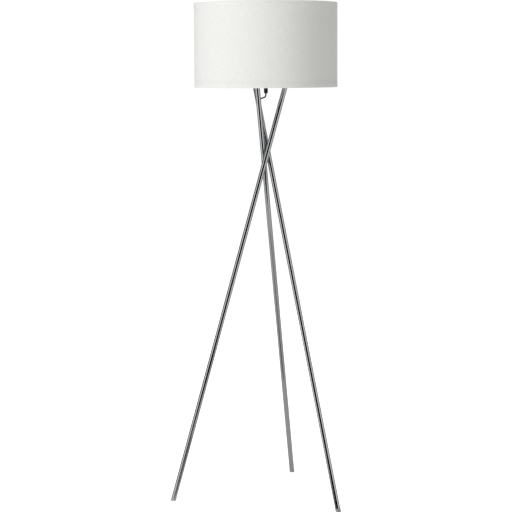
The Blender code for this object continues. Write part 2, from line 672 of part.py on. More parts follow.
def make_flex(lamp, looks):
    """The lead inside the lampholder, below the grip, and down the inside of its leg."""
    drop = [Vector((0, 0, HOLDER_SEAM)), Vector((0, 0, GRIP_BOTTOM + GAP))]
    make_cord("flex_in_holder", drop, looks["lead"], lamp)
    azimuth = LEGS[CORD_LEG]
    inward = toward_axis(azimuth, GROMMET_HEIGHT)
    hole = leg_point(azimuth, GROMMET_HEIGHT)
    flat = Vector((hole.x, hole.y, 0)).normalized()
    route = [flat * out + Vector((0, 0, height)) for out, height in FLEX_ROUTE]
    route += [hole + inward * GROMMET_FACE, hole + inward * (BUSH_NECK_START - GAP)]
    make_cord("flex_loop", smooth_route(route, CORD_DIAMETER * 1.4), looks["lead"], lamp)
    down = -leg_direction(azimuth)
    inside = [hole + inward * (BUSH_NECK_START - 3 * GAP), hole + inward * 0.0010 + down * 0.0004,
              hole - inward * 0.0028 + down * 0.0050, hole - inward * 0.0010 + down * 0.0140,
              hole + down * 0.0240]
    bend = smooth_route(inside, CORD_DIAMETER)
    reach = FOOT_CAP_DIAMETER / 2 + OUTLET_BUSH_LENGTH - OUTLET_BEND
    make_cord("flex_in_leg", bend + outlet_points(reach), looks["lead"], lamp)


def make_outlet_bush(lamp, looks):
    """The tapered relief that the lead leaves the foot cap through. Its collar stands clear
    of the cap's lower edge, which the leg's slope carries outward."""
    tip = FOOT_CAP_DIAMETER / 2 + OUTLET_BUSH_LENGTH
    face, neck, collar = FOOT_CAP_DIAMETER / 2 * LEG_STRETCH + 0.0013, BUSH_NECK_RADIUS, 0.0047
    profile = [(CORD_HOLE_RADIUS, BUSH_NECK_START), (neck, BUSH_NECK_START), (neck, face),
               (collar, face), (collar, face + 0.0016), (0.0040, face + 0.0050), (0.0031, tip),
               (CORD_HOLE_RADIUS, tip)]
    make_piece("outlet_bush", turned(profile, MEDIUM, True), looks["cap"], lamp,
               across(compass(OUTLET_AZIMUTH), outlet_corner()))


def make_coil(looks):
    half = CORD_DIAMETER / 2 + GAP
    spot = Matrix.Translation((*COIL_CENTRE, COIL_BOTTOM))
    outer, inner = COIL_OUTER_TURN + half, COIL_INNER_TURN - half
    step = 0.0016           # of the ring's rounded edges
    profile = [(outer - step, 0), (outer, step), (outer, COIL_HEIGHT - step),
               (outer - step, COIL_HEIGHT), (inner + step, COIL_HEIGHT),
               (inner, COIL_HEIGHT - step), (inner, step), (inner + step, 0)]
    make_piece("lead_coil", turned(profile, 32, True), looks["lead"], None, spot)
    band, width = 0.0009, 0.009
    low, high = COIL_BOTTOM - GAP, COIL_BOTTOM + COIL_HEIGHT + GAP
    near, far = inner - 0.0014, outer + GAP
    hole = [(near, low), (far, low), (far, high), (near, high)]
    rim = [(near - band, low - band), (far + band, low - band), (far + band, high + band),
           (near - band, high + band)]
    rings = []
    for y, outline in ((-1, rim), (1, rim), (1, hole), (-1, hole)):
        rings.append([Vector((x, y * width / 2, z)) for x, z in outline])
    spot = Matrix.Translation((*COIL_CENTRE, 0))
    make_piece("coil_tie", skin(rings, closed=True), looks["rubber"], None, spot, 25.0)


def make_floor_leads(looks):
    spacing = CORD_DIAMETER * 2.9
    make_cord("lead_to_switch", smooth_route(ROUTE_TO_SWITCH, spacing), looks["lead"])
    make_cord("lead_to_coil", smooth_route(ROUTE_TO_COIL, spacing), looks["lead"])
    make_cord("lead_to_plug", smooth_route(ROUTE_TO_PLUG, spacing * 0.6), looks["lead"])


# Foot switch

STADIUM_SIDES = 28


def stadium(length, width, height, count=STADIUM_SIDES):
    """An outline with round ends, long way along X."""
    radius = width / 2
    straight = (length - width) / 2
    ring = []
    for i in range(count):
        angle = math.tau * (i + 0.5) / count
        x = radius * math.cos(angle)
        ring.append(Vector((x + math.copysign(straight, x), radius * math.sin(angle), height)))
    return ring


def make_switch_casing(frame, looks):
    seam, floor, wall, top = SWITCH_PARTING, GAP, SWITCH_WALL, SWITCH_TOP
    inner = (SWITCH_LENGTH - 2 * wall, SWITCH_WIDTH - 2 * wall)
    outer = (SWITCH_LENGTH, SWITCH_WIDTH)
    tray = skin([stadium(outer[0] - 0.002, outer[1] - 0.002, floor),
                 stadium(*outer, floor + 0.001), stadium(*outer, seam - GAP / 2),
                 stadium(*inner, seam - GAP / 2), stadium(*inner, SWITCH_FLOOR)])
    base = make_piece("switch_base", tray, looks["black"], frame)
    mouth = BUTTON_RADIUS + GAP
    turns = [math.tau * (i + 0.5) / STADIUM_SIDES for i in range(STADIUM_SIDES)]

    def eye(height):
        return [Vector((mouth * math.cos(a), mouth * math.sin(a), height)) for a in turns]

    lid = skin([stadium(*outer, seam + GAP / 2), stadium(*outer, top - 0.0045),
                stadium(outer[0] - 0.0026, outer[1] - 0.0026, top - 0.0014),
                stadium(outer[0] - 0.0080, outer[1] - 0.0080, top), eye(top), eye(top - wall),
                stadium(inner[0] - 0.0040, inner[1] - 0.0040, top - wall),
                stadium(*inner, top - 0.0050), stadium(*inner, seam + GAP / 2)], closed=True)
    cover = make_piece("switch_cover", lid, looks["black"], frame)
    passage = make_cutter("switch_passage", rod(0.0035, -0.040, 0.040, MEDIUM), frame,
                          along_x((0, 0, seam)))
    cut(base, passage)
    for number, (x, y) in enumerate(SWITCH_SCREWS, 1):
        spot = Matrix.Translation((x, y, 0))
        post = make_cutter(f"switch_post_{number}", rod(0.0034, seam + 0.0012, top - 0.001, SMALL),
                           frame, spot)
        weld(cover, post)
        hole = make_cutter(f"switch_screw_hole_{number}", rod(0.0016, -0.001, 0.0150, SMALL),
                           frame, spot)
        cut(cover, hole)
        sink = turned([(0, -0.001), (0.0030, -0.001), (0.0030, 0.0010), (0.0017, 0.0022),
                       (0.0017, 0.0040), (0, 0.0040)], SMALL)
        cut(base, make_cutter(f"switch_sink_{number}", sink, frame, spot))
        profile = [(0, 0.0005), (0.0026, 0.0005), (0.0026, 0.0009), (0.0013, 0.0021),
                   (0.0013, 0.0140), (0, 0.0140)]
        make_piece(f"switch_screw_{number}", turned(profile, SMALL), looks["steel"], frame, spot)
    cut(cover, passage)


def make_switch_inside(frame, looks):
    flange, base = 0.0140, BUTTON_BASE
    profile = [(0, base), (0.0030, base), (flange, base), (flange, 0.0172), (BUTTON_RADIUS, 0.0172),
               (BUTTON_RADIUS, 0.0222), (0.0107, 0.0236), (0.0085, 0.0243), (0, 0.0246)]
    make_piece("switch_button", turned(profile), looks["grey"], frame)
    turns, steps, wire, coil = 5, 8, 0.0004, 0.0042
    low, high = SWITCH_FLOOR + GAP + wire, base - GAP - wire
    line = []
    for i in range(turns * steps + 1):
        angle = math.tau * i / steps
        height = low + (high - low) * i / (turns * steps)
        line.append(Vector((coil * math.cos(angle), coil * math.sin(angle), height)))
    make_piece("switch_spring", sweep(line, wire, 5), looks["steel"], frame)
    for number, side in enumerate((-1, 1), 1):
        corners = [(-0.003, -0.0022), (0.003, -0.0022), (0.003, 0.0022), (-0.003, 0.0022)]
        rings = [[Vector((x, y, z)) for x, y in corners] for z in (SWITCH_FLOOR + GAP, SWITCH_PARTING)]
        spot = Matrix.Translation((side * 0.0115, side * 0.0070, 0))
        make_piece(f"switch_terminal_{number}", skin(rings), looks["brass"], frame, spot)
    wall, end = SWITCH_LENGTH / 2, SWITCH_LENGTH / 2 + 0.0238
    profile = [(CORD_HOLE_RADIUS, wall - 0.0040), (0.0032, wall - 0.0040), (0.0032, wall),
               (0.0044, wall + GAP), (0.0044, wall + 0.0030), (0.0031, end),
               (CORD_HOLE_RADIUS, end)]
    for name, side in (("switch_relief_in", 1), ("switch_relief_out", -1)):
        matrix = along_x((0, 0, SWITCH_PARTING), side)
        make_piece(name, turned(profile, MEDIUM, True), looks["rubber"], frame, matrix)


def make_switch(looks):
    frame = make_frame("switch_frame", None, Matrix.Translation((*SWITCH_CENTRE, 0)))
    make_switch_casing(frame, looks)
    make_switch_inside(frame, looks)


# Plug

def rounded_box(width, height, x, count=20):
    """A rounded upright outline at a place along X."""
    ring = []
    for i in range(count):
        angle = math.tau * (i + 0.5) / count
        side, rise = math.cos(angle), math.sin(angle)
        power = 0.55
        ring.append(Vector((x, width / 2 * math.copysign(abs(side) ** power, side),
                            height / 2 * math.copysign(abs(rise) ** power, rise))))
    return ring


def make_plug(looks):
    """A flat two-pin plug that lies on its side face, pins towards -X."""
    spot = Matrix.Translation((*PLUG_BACK, PLUG_HEIGHT))
    frame = make_frame("plug_frame", None, spot @ Matrix.Rotation(math.radians(PLUG_TURN), 4, "Z"))
    stations = [(0.0064, 0.0064, 0.0), (0.0084, 0.0080, -0.0190), (0.0120, 0.0100, -0.0220),
                (0.0240, 0.0125, -0.0300), (0.0340, 0.0137, -0.0380), (0.0350, 0.0137, -0.0430),
                (0.0280, 0.0137, 0.001 - PLUG_LENGTH), (0.0262, 0.0125, -PLUG_LENGTH)]
    body = make_piece("plug_body", skin([rounded_box(*station) for station in stations]),
                      looks["black"], frame)
    for name, side in (("plug_pin_left", -1), ("plug_pin_right", 1)):
        matrix = along_x((-PLUG_LENGTH, side * PLUG_PIN_OFFSET, 0), -1.0)
        radius, root, tip = PLUG_PIN_RADIUS, -0.0085, PLUG_PIN_LENGTH
        hole = rod(radius + GAP, root - GAP, CUT_THROUGH, MEDIUM)
        cut(body, make_cutter("hole_of_" + name, hole, frame, matrix))
        profile = [(0, root), (radius, root), (radius, tip - 0.0014), (radius - 0.0008, tip),
                   (0, tip)]
        make_piece(name, turned(profile, MEDIUM), looks["steel"], frame, matrix)


def make_looks():
    return {
        "chrome": make_material("chrome", (0.78, 0.78, 0.79), 0.07, 1.0),
        "zinc": make_material("zinc_plate", (0.62, 0.63, 0.64), 0.35, 1.0),
        "steel": make_material("steel", (0.66, 0.66, 0.67), 0.28, 1.0),
        "brass": make_material("brass", (0.72, 0.56, 0.28), 0.30, 1.0),
        "cap": make_material("grey_cap_plastic", (0.42, 0.43, 0.46), 0.45),
        "rubber": make_material("black_rubber", (0.025, 0.025, 0.026), 0.65),
        "black": make_material("black_plastic", (0.02, 0.02, 0.021), 0.40),
        "lead": make_material("black_lead", (0.022, 0.022, 0.023), 0.50),
        "grey": make_material("dark_grey_plastic", (0.07, 0.07, 0.075), 0.45),
        "white": make_material("white_plastic", (0.88, 0.88, 0.86), 0.45),
        "ceramic": make_material("white_ceramic", (0.82, 0.80, 0.76), 0.40),
        "white_wire": make_material("white_enamel", (0.86, 0.86, 0.84), 0.35),
        "liner": make_material("white_liner", (0.90, 0.90, 0.88), 0.55),
        "fabric": make_material("white_fabric", (0.88, 0.88, 0.86), 0.90),
    }


def build():
    clear_scene()
    looks = make_looks()
    lamp = make_frame("lamp_axis", None, Matrix.Translation(AXIS))
    make_tripod(lamp, looks)
    make_bracket(lamp, looks)
    make_cord_grip(lamp, looks)
    make_threaded_tube(lamp, looks)
    make_holder_casing(lamp, looks)
    make_holder_inside(lamp, looks)
    make_bulb(lamp, looks)
    make_shade_frame(lamp, looks)
    make_shade_skins(lamp, looks)
    make_flex(lamp, looks)
    make_outlet_bush(lamp, looks)
    make_coil(looks)
    make_floor_leads(looks)
    make_switch(looks)
    make_plug(looks)


build()
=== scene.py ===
"""Looks of the tripod floor lamp.

Chromed tubes, a white fabric drum shade on enamelled wires, a bulb in its black
lampholder, and the black lead with its foot switch, coil and plug.
Units are metres, +Z is up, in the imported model's own frame.
"""

import json
import math

import bmesh
import bpy
from mathutils import Matrix, Vector
from mathutils.noise import noise


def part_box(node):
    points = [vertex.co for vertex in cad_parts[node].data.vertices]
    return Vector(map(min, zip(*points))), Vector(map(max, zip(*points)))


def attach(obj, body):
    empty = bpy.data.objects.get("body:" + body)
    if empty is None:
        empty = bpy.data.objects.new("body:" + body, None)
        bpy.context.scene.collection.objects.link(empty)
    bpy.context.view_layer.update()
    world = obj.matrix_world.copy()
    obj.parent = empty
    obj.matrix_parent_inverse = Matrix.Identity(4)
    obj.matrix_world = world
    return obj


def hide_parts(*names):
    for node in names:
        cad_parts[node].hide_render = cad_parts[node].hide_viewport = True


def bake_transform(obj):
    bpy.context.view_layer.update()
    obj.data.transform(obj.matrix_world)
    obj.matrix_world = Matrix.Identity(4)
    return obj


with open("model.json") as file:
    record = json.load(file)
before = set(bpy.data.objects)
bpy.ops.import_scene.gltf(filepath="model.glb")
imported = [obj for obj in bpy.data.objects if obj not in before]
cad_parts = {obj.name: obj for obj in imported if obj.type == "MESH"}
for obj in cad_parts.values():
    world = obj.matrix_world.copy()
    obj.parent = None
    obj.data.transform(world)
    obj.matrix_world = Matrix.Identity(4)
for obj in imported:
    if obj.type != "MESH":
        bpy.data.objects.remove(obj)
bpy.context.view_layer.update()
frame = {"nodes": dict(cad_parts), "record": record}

# Places that the frame gives

NODES = frame["nodes"]
MOUNTS = {mount["name"]: Vector(mount["pos_m"]) for mount in frame["record"]["mounts"]}


def low_of(node):
    return Vector(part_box(node)[0])


def high_of(node):
    return Vector(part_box(node)[1])


def middle_of(node):
    return (low_of(node) + high_of(node)) / 2


def radius_of(node):
    return (high_of(node).x - low_of(node).x) / 2


AXIS = Vector((middle_of("shade_fabric").x, middle_of("shade_fabric").y, 0.0))
SHADE_RADIUS = radius_of("shade_fabric")
SHADE_BOTTOM = low_of("shade_fabric").z
SHADE_TOP = high_of("shade_fabric").z
AT_AXIS = Matrix.Translation(AXIS)

# Camera: from the lamp's axis, turned from the -Y direction
CAMERA_AZIMUTH = 17.53
CAMERA_SIDE = -0.0340
CAMERA_DISTANCE = 5.387
CAMERA_HEIGHT = 1.3747
CAMERA_PITCH = 6.37
CAMERA_ROLL = -0.31
CAMERA_LENS = 119.86

# Legs
LEG_RADIUS = 0.008
LEG_WALL = 0.001
SIDES = ("front_left", "front_right", "rear")
CORD_LEG = "front_right"

# Shade
FABRIC_THICKNESS = 0.0009
LINER_THICKNESS = 0.0006
WIRE_RADIUS = 0.0015
HEM_WIDTH = 0.015
HEM_BULGE = 0.00035         # how far the doubled cloth stands out
HEM_LIP = 0.0055            # the part of the hem that is turned over the edge
DRUM_SIDES = 240
SEAM_AZIMUTH = 107.53       # the cloth's lapped seam is at the rear
SEAM_WIDTH = 0.012
SEAM_LAP = 0.00025
ARM_AZIMUTHS = (30.0, 150.0, 270.0)
ARM_SPACING = 0.006

# Bulb and its screw shell
E27_PITCH = 0.0036
THREAD_SHEET = 0.0004       # thickness of the rolled metal
CAP_CORE, CAP_CREST = 0.0121, 0.0130
SHELL_CORE, SHELL_CREST = 0.0138, 0.0147
BULB_NECK_WALL = 0.0016
BULB_GLOBE_WALL = 0.0012

# Small parts
FOOT_SWITCH_WALL = 0.0020
CASING_LIP = 0.0006         # the chamfer along the casing's joint
BUTTON_FLANGE = 0.0025      # how far the button's flange stands out under the cover
BUTTON_PLAY = 0.0003
SPRING_WIRE = 0.0004        # radius
SPRING_TURNS = 5
STRAP_THICKNESS = 0.0009

# Lead
CORD_DIAMETER = 0.0046
FLEX_SPACING, LEAD_SPACING, PLUG_SPACING = 0.003, 0.010, 0.008
GROMMET_HEIGHT = 1.266
GROMMET_FACE = 0.0095       # from the leg's centre line to the grommet's face
FLEX_END = 0.0055           # from the leg's centre line to the loop's end inside the grommet
COIL_CENTRE = (0.200, -0.330)
COIL_OUTER_TURN = 0.0355
COIL_INNER_TURN = 0.0197
COIL_TURNS = 3.25           # in each of the coil's two layers
COIL_LOW = 0.0038
COIL_HIGH = 0.0086
FLEX_ROUTE = [              # distance out from the lamp's axis, height
    (0.0, 1.2877), (0.0003, 1.2845), (0.0016, 1.2808), (0.0044, 1.2776), (0.0087, 1.2755),
    (0.0145, 1.2744), (0.0207, 1.2734), (0.0270, 1.2719), (0.0332, 1.2703),
]
ROUTE_TO_SWITCH = [
    (0.2785, -0.2285, 0.0050), (0.2815, -0.2420, 0.0040), (0.2838, -0.2590, 0.0028),
    (0.2835, -0.2850, 0.0026), (0.2790, -0.3120, 0.0026), (0.2690, -0.3420, 0.0026),
    (0.2530, -0.3700, 0.0026), (0.2310, -0.3920, 0.0032), (0.2060, -0.4030, 0.0058),
    (0.1905, -0.4050, 0.0075), (0.1780, -0.4050, 0.0075), (0.1640, -0.4050, 0.0075),
]
ROUTE_TO_COIL = [
    (0.1010, -0.4050, 0.0075), (0.0870, -0.4050, 0.0075), (0.0745, -0.4050, 0.0075),
    (0.0600, -0.4020, 0.0058), (0.0430, -0.3920, 0.0032),
    (0.0300, -0.3740, 0.0026), (0.0255, -0.3510, 0.0026), (0.0290, -0.3280, 0.0026),
    (0.0420, -0.3090, 0.0026), (0.0620, -0.2985, 0.0026), (0.0860, -0.2950, 0.0028),
    (0.1200, -0.2945, 0.0036), (0.1500, -0.2945, 0.0038), (0.1800, -0.2945, 0.0038),
]
CORD_HOLE_RADIUS = 0.0026
OUTLET_AZIMUTH = 285.0      # the way that the lead leaves the foot
OUTLET_HEIGHT = 0.0052
PLUG_BACK = (0.1400, -0.359, 0.0085)
PLUG_TURN = -8.0
ROUTE_TO_PLUG = [
    (0.1800, -0.3655, 0.0086), (0.1690, -0.3650, 0.0086), (0.1580, -0.3624, 0.0085),
    (0.1490, -0.3603, 0.0085), (0.1404, -0.3591, 0.0085),
]


# Mesh and curve helpers

def compass(azimuth):
    angle = math.radians(azimuth)
    return Vector((math.cos(angle), math.sin(angle), 0.0))


def add_object(name, data, material, matrix=None):
    data.name = name
    item = bpy.data.objects.new(name, data)
    bpy.context.scene.collection.objects.link(item)
    data.materials.append(material)
    if matrix is not None:
        data.transform(matrix)
    return item


def stand_for(item, slot, *nodes, body="stand"):
    """Put a piece on a body in place of the CAD nodes named; the slot is not used."""
    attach(item, body)
    if nodes:
        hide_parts(*nodes)
    return item


def add_piece(name, mesh, slot, matrix, *nodes, body="stand"):
    """A piece in its slot's material, which rides on a body and stands for CAD nodes."""
    return stand_for(add_object(name, mesh, LOOKS[slot], matrix), slot, *nodes, body=body)


def along(direction, origin):
    """A matrix that lays Z along a direction, from an origin."""
    turn = Vector(direction).to_track_quat("Z", "Y").to_matrix().to_4x4()
    return Matrix.Translation(Vector(origin)) @ turn


def skin(rings, closed=False, sharp=35.0):
    """A mesh over rings of equal counts, or of one point for a tip."""
    mesh = bpy.data.meshes.new("skin")
    shape = bmesh.new()
    loops = [[shape.verts.new(point) for point in ring] for ring in rings]
    pairs = list(zip(loops, loops[1:]))
    if closed:
        pairs.append((loops[-1], loops[0]))
    for low, high in pairs:
        count = max(len(low), len(high))
        if count == 1:
            continue
        for i in range(count):
            j = (i + 1) % count
            corners = (low[i % len(low)], low[j % len(low)],
                       high[j % len(high)], high[i % len(high)])
            shape.faces.new(list(dict.fromkeys(corners)))
    if not closed:
        for loop in (loops[0], loops[-1]):
            if len(loop) > 2:
                shape.faces.new(loop)
    bmesh.ops.recalc_face_normals(shape, faces=shape.faces)
    shape.to_mesh(mesh)
    shape.free()
    mesh.shade_smooth()
    mesh.set_sharp_from_angle(angle=math.radians(sharp))
    return mesh


def circle(radius, height, sides):
    if radius == 0:
        return [Vector((0, 0, height))]
    turns = [math.tau * i / sides for i in range(sides)]
    return [Vector((radius * math.cos(a), radius * math.sin(a), height)) for a in turns]


def turned(profile, sides=96, closed=False):
    """A mesh turned round Z from a profile of radius and height."""
    return skin([circle(r, z, sides) for r, z in profile], closed)


def smooth_curve(points, steps=10):
    """A finer line of points on a smooth curve through the given ones."""
    knots = [Vector(point) for point in points]
    knots = [2 * knots[0] - knots[1], *knots, 2 * knots[-1] - knots[-2]]
    fine = []
    for before, start, end, after in zip(knots, knots[1:], knots[2:], knots[3:]):
        for step in range(steps):
            t = step / steps
            fine.append(0.5 * ((2 * start) + (end - before) * t
                               + (2 * before - 5 * start + 4 * end - after) * t * t
                               + (3 * start - before - 3 * end + after) * t ** 3))
    fine.append(knots[-2])
    return fine


def evenly(points, spacing):
    """The same line with its points a set distance apart."""
    reach = [0.0]
    for a, b in zip(points, points[1:]):
        reach.append(reach[-1] + (b - a).length)
    count = max(2, round(reach[-1] / spacing))
    even, k = [], 0
    for i in range(count + 1):
        goal = reach[-1] * i / count
        while k < len(points) - 2 and reach[k + 1] < goal:
            k += 1
        part = (goal - reach[k]) / (reach[k + 1] - reach[k])
        even.append(points[k].lerp(points[k + 1], min(1.0, part)))
    return even


def tube_curve(name, points, radius, material, cyclic=False, sides=4):
    curve = bpy.data.curves.new(name, "CURVE")
    curve.dimensions = "3D"
    curve.bevel_depth = radius
    curve.bevel_resolution = sides
    curve.use_fill_caps = not cyclic
    curve.resolution_u = 4
    spline = curve.splines.new("BEZIER")
    spline.bezier_points.add(len(points) - 1)
    for target, point in zip(spline.bezier_points, points):
        target.co = point
        target.handle_left_type = "AUTO"
        target.handle_right_type = "AUTO"
    spline.use_cyclic_u = cyclic
    return add_object(name, curve, material)


# Material helpers

class Look:
    """A Principled material and short ways to wire procedural detail into it."""

    def __init__(self, name, colour, roughness, metallic=0.0, **fixed):
        self.material = bpy.data.materials.new(name)
        self.material.use_nodes = True
        self.tree = self.material.node_tree
        self.shader = self.tree.nodes["Principled BSDF"]
        self.shader.inputs["Base Color"].default_value = (*colour, 1.0)
        self.shader.inputs["Roughness"].default_value = roughness
        self.shader.inputs["Metallic"].default_value = metallic
        for socket, value in fixed.items():
            self.shader.inputs[socket.replace("_", " ")].default_value = value
        self.material.diffuse_color = (*colour, 1.0)
        self.place = None
        self.heights = []

    def node(self, kind, links=(), **fixed):
        made = self.tree.nodes.new(kind)
        for name, value in fixed.items():
            if hasattr(made, name):
                setattr(made, name, value)
            else:
                made.inputs[name.replace("_", " ")].default_value = value
        for socket, source in dict(links).items():
            self.tree.links.new(source, made.inputs[socket])
        return made

    def where(self, source="Object"):
        if self.place is None:
            self.place = self.node("ShaderNodeTexCoord")
        return self.place.outputs[source]

    def scaled(self, vector, scale):
        mapping = self.node("ShaderNodeMapping", {"Vector": vector})
        mapping.inputs["Scale"].default_value = scale
        return mapping.outputs["Vector"]

    def cloud(self, scale, detail=3.0, roughness=0.55, vector=None):
        made = self.node("ShaderNodeTexNoise", {"Vector": vector or self.where()})
        made.inputs["Scale"].default_value = scale
        made.inputs["Detail"].default_value = detail
        made.inputs["Roughness"].default_value = roughness
        return made.outputs["Fac"]

    def spread(self, value, low, high, start=0.3, end=0.7):
        made = self.node("ShaderNodeMapRange", {"Value": value})
        made.inputs["From Min"].default_value = start
        made.inputs["From Max"].default_value = end
        made.inputs["To Min"].default_value = low
        made.inputs["To Max"].default_value = high
        return made.outputs["Result"]

    def mix(self, value, dark, light):
        made = self.node("ShaderNodeMix", data_type="RGBA")
        self.tree.links.new(value, made.inputs[0])
        made.inputs[6].default_value = (*dark, 1.0)
        made.inputs[7].default_value = (*light, 1.0)
        return made.outputs[2]

    def set(self, socket, source):
        self.tree.links.new(source, self.shader.inputs[socket])

    def bump(self, height, strength, distance):
        made = self.node("ShaderNodeBump", {"Height": height})
        made.inputs["Strength"].default_value = strength
        made.inputs["Distance"].default_value = distance
        if self.heights:
            self.tree.links.new(self.heights[-1], made.inputs["Normal"])
        self.heights.append(made.outputs["Normal"])
        self.set("Normal", made.outputs["Normal"])


def chrome_look():
    """Polished chromium plate: the faint haze of wiping, and a drawn tube's waviness."""
    look = Look("chrome_plate", (0.56, 0.57, 0.59), 0.05, metallic=1.0)
    haze = look.cloud(9.0, 5.0)
    look.set("Roughness", look.spread(haze, 0.035, 0.085))
    look.set("Base Color", look.mix(look.cloud(30.0), (0.535, 0.545, 0.565), (0.58, 0.588, 0.605)))
    drawn = look.scaled(look.where(), (260.0, 260.0, 2.5))
    look.bump(look.cloud(1.0, 2.0, vector=drawn), strength=0.05, distance=0.00002)
    return look.material


def metal_look(name, dark, light, rough, grain):
    look = Look(name, light, rough, 1.0)
    look.set("Base Color", look.mix(look.cloud(60.0), dark, light))
    look.set("Roughness", look.spread(look.cloud(240.0), rough * 0.8, rough * 1.3))
    brushed = look.scaled(look.where(), grain)
    look.bump(look.cloud(1.0, 4.0, vector=brushed), strength=0.15, distance=0.00006)
    return look.material


def plastic_look(name, dark, light, rough, grain=1400.0, depth=0.00004, **fixed):
    """Moulded plastic: a fine spark-eroded grain, faint flow clouds, rubbed gloss."""
    look = Look(name, light, rough, **fixed)
    look.set("Base Color", look.mix(look.cloud(25.0, 4.0), dark, light))
    look.set("Roughness", look.spread(look.cloud(70.0, 5.0), rough * 0.82, rough * 1.2))
    look.bump(look.cloud(grain, 2.0), strength=0.35, distance=depth)
    return look.material


def weave_look(name, dark, light, thread):
    """Plain woven cloth. UV runs round the shade and up it, in metres."""
    look = Look(name, light, 0.92, Sheen_Weight=0.25, Sheen_Roughness=0.5, Specular_IOR_Level=0.2)
    place = look.where("UV")
    slubs_across = look.cloud(1.0, 4.0, 0.6, look.scaled(place, (45.0, 900.0, 1.0)))
    slubs_up = look.cloud(1.0, 4.0, 0.6, look.scaled(place, (900.0, 30.0, 1.0)))
    both = look.node("ShaderNodeMath", {0: slubs_across, 1: slubs_up}, operation="ADD")
    look.set("Base Color", look.mix(look.spread(both.outputs[0], 0.0, 1.0, 0.75, 1.25), dark, light))
    wave = []
    for direction in ("X", "Y"):
        band = look.node("ShaderNodeTexWave", {"Vector": place}, wave_type="BANDS",
                         bands_direction=direction)
        # The texture repeats every pi / (10 * scale), here every second thread
        band.inputs["Scale"].default_value = 1.0 / (thread * 2.0) * 0.1 * math.pi
        band.inputs["Distortion"].default_value = 0.6
        band.inputs["Detail Scale"].default_value = 0.4
        wave.append(band.outputs["Fac"])
    crossing = look.node("ShaderNodeMath", {0: wave[0], 1: wave[1]}, operation="MULTIPLY")
    look.bump(crossing.outputs[0], strength=0.5, distance=0.00022)
    look.bump(both.outputs[0], strength=0.4, distance=0.00025)
    look.set("Roughness", look.spread(slubs_across, 0.85, 0.98))
    return look.material


def make_looks():
    black = ((0.006, 0.006, 0.0065), (0.014, 0.014, 0.015))
    return {
        "chrome": chrome_look(),
        "zinc": metal_look("zinc_plate", (0.50, 0.51, 0.53), (0.64, 0.65, 0.66), 0.34,
                           (90.0, 1200.0, 90.0)),
        "steel": metal_look("bright_steel", (0.56, 0.56, 0.57), (0.70, 0.70, 0.71), 0.26,
                            (1500.0, 150.0, 150.0)),
        "brass": metal_look("brass", (0.62, 0.47, 0.20), (0.78, 0.62, 0.32), 0.28,
                            (900.0, 120.0, 120.0)),
        "foot_plastic": plastic_look("grey_cap_plastic", (0.34, 0.35, 0.38), (0.44, 0.45, 0.48), 0.45),
        "rubber": plastic_look("black_rubber", *black, 0.68, 900.0, 0.00006, Specular_IOR_Level=0.3),
        "black_plastic": plastic_look("black_plastic", *black, 0.42, Specular_IOR_Level=0.3),
        "grey_plastic": plastic_look("dark_grey_plastic", (0.055, 0.055, 0.06), (0.085, 0.085, 0.09),
                                     0.5, 1100.0, 0.00008),
        "lead": plastic_look("black_lead", *black, 0.5, 700.0, 0.00003, Specular_IOR_Level=0.25),
        "ceramic": plastic_look("white_ceramic", (0.76, 0.74, 0.69), (0.85, 0.83, 0.79), 0.35, 600.0),
        "bulb_white": plastic_look("bulb_plastic", (0.84, 0.84, 0.82), (0.90, 0.90, 0.88), 0.34, 900.0,
                                   0.00002, Coat_Weight=0.15),
        "frosted": plastic_look("frosted_diffuser", (0.86, 0.86, 0.84), (0.92, 0.92, 0.90), 0.55, 1600.0,
                                0.00002, Coat_Weight=0.05),
        "wire_enamel": plastic_look("white_enamel", (0.82, 0.82, 0.80), (0.88, 0.88, 0.86), 0.32, 500.0),
        "liner": plastic_look("white_liner", (0.87, 0.87, 0.85), (0.91, 0.91, 0.89), 0.52, 350.0),
        "fabric": weave_look("white_fabric", (0.80, 0.80, 0.79), (0.90, 0.90, 0.885), 0.00055),
    }


LOOKS = make_looks()


# Camera

def place_camera():
    camera = bpy.data.objects.new("camera", bpy.data.cameras.new("camera"))
    bpy.context.scene.collection.objects.link(camera)
    camera.data.lens = CAMERA_LENS
    camera.data.sensor_width = 36.0
    camera.data.clip_end = 60.0
    turn = Matrix.Rotation(math.radians(CAMERA_AZIMUTH), 4, "Z")
    spot = Matrix.Translation((CAMERA_SIDE, -CAMERA_DISTANCE, CAMERA_HEIGHT))
    tilt = Matrix.Rotation(math.radians(90.0 - CAMERA_PITCH), 4, "X")
    roll = Matrix.Rotation(math.radians(CAMERA_ROLL), 4, "Z")
    camera.matrix_world = AT_AXIS @ turn @ spot @ tilt @ roll
    bpy.context.scene.camera = camera


place_camera()


# Lead

def leg_line(side):
    """A leg's centre line: its point on the floor and its point at the bracket."""
    top = middle_of("bracket_screw_" + side)
    return MOUNTS["foot_" + side], Vector((top.x, top.y, high_of("leg_" + side).z))


def flex_points():
    foot, top = leg_line(CORD_LEG)
    hole = foot.lerp(top, (GROMMET_HEIGHT - foot.z) / (top.z - foot.z))
    up = (top - foot).normalized()
    inward = AXIS - hole
    inward.z = 0.0
    inward.normalize()
    inward = (inward - up * inward.dot(up)).normalized()
    flat = Vector((hole.x - AXIS.x, hole.y - AXIS.y, 0.0)).normalized()
    route = [AXIS + flat * out + Vector((0, 0, height)) for out, height in FLEX_ROUTE]
    return route + [hole + inward * GROMMET_FACE, hole + inward * FLEX_END]


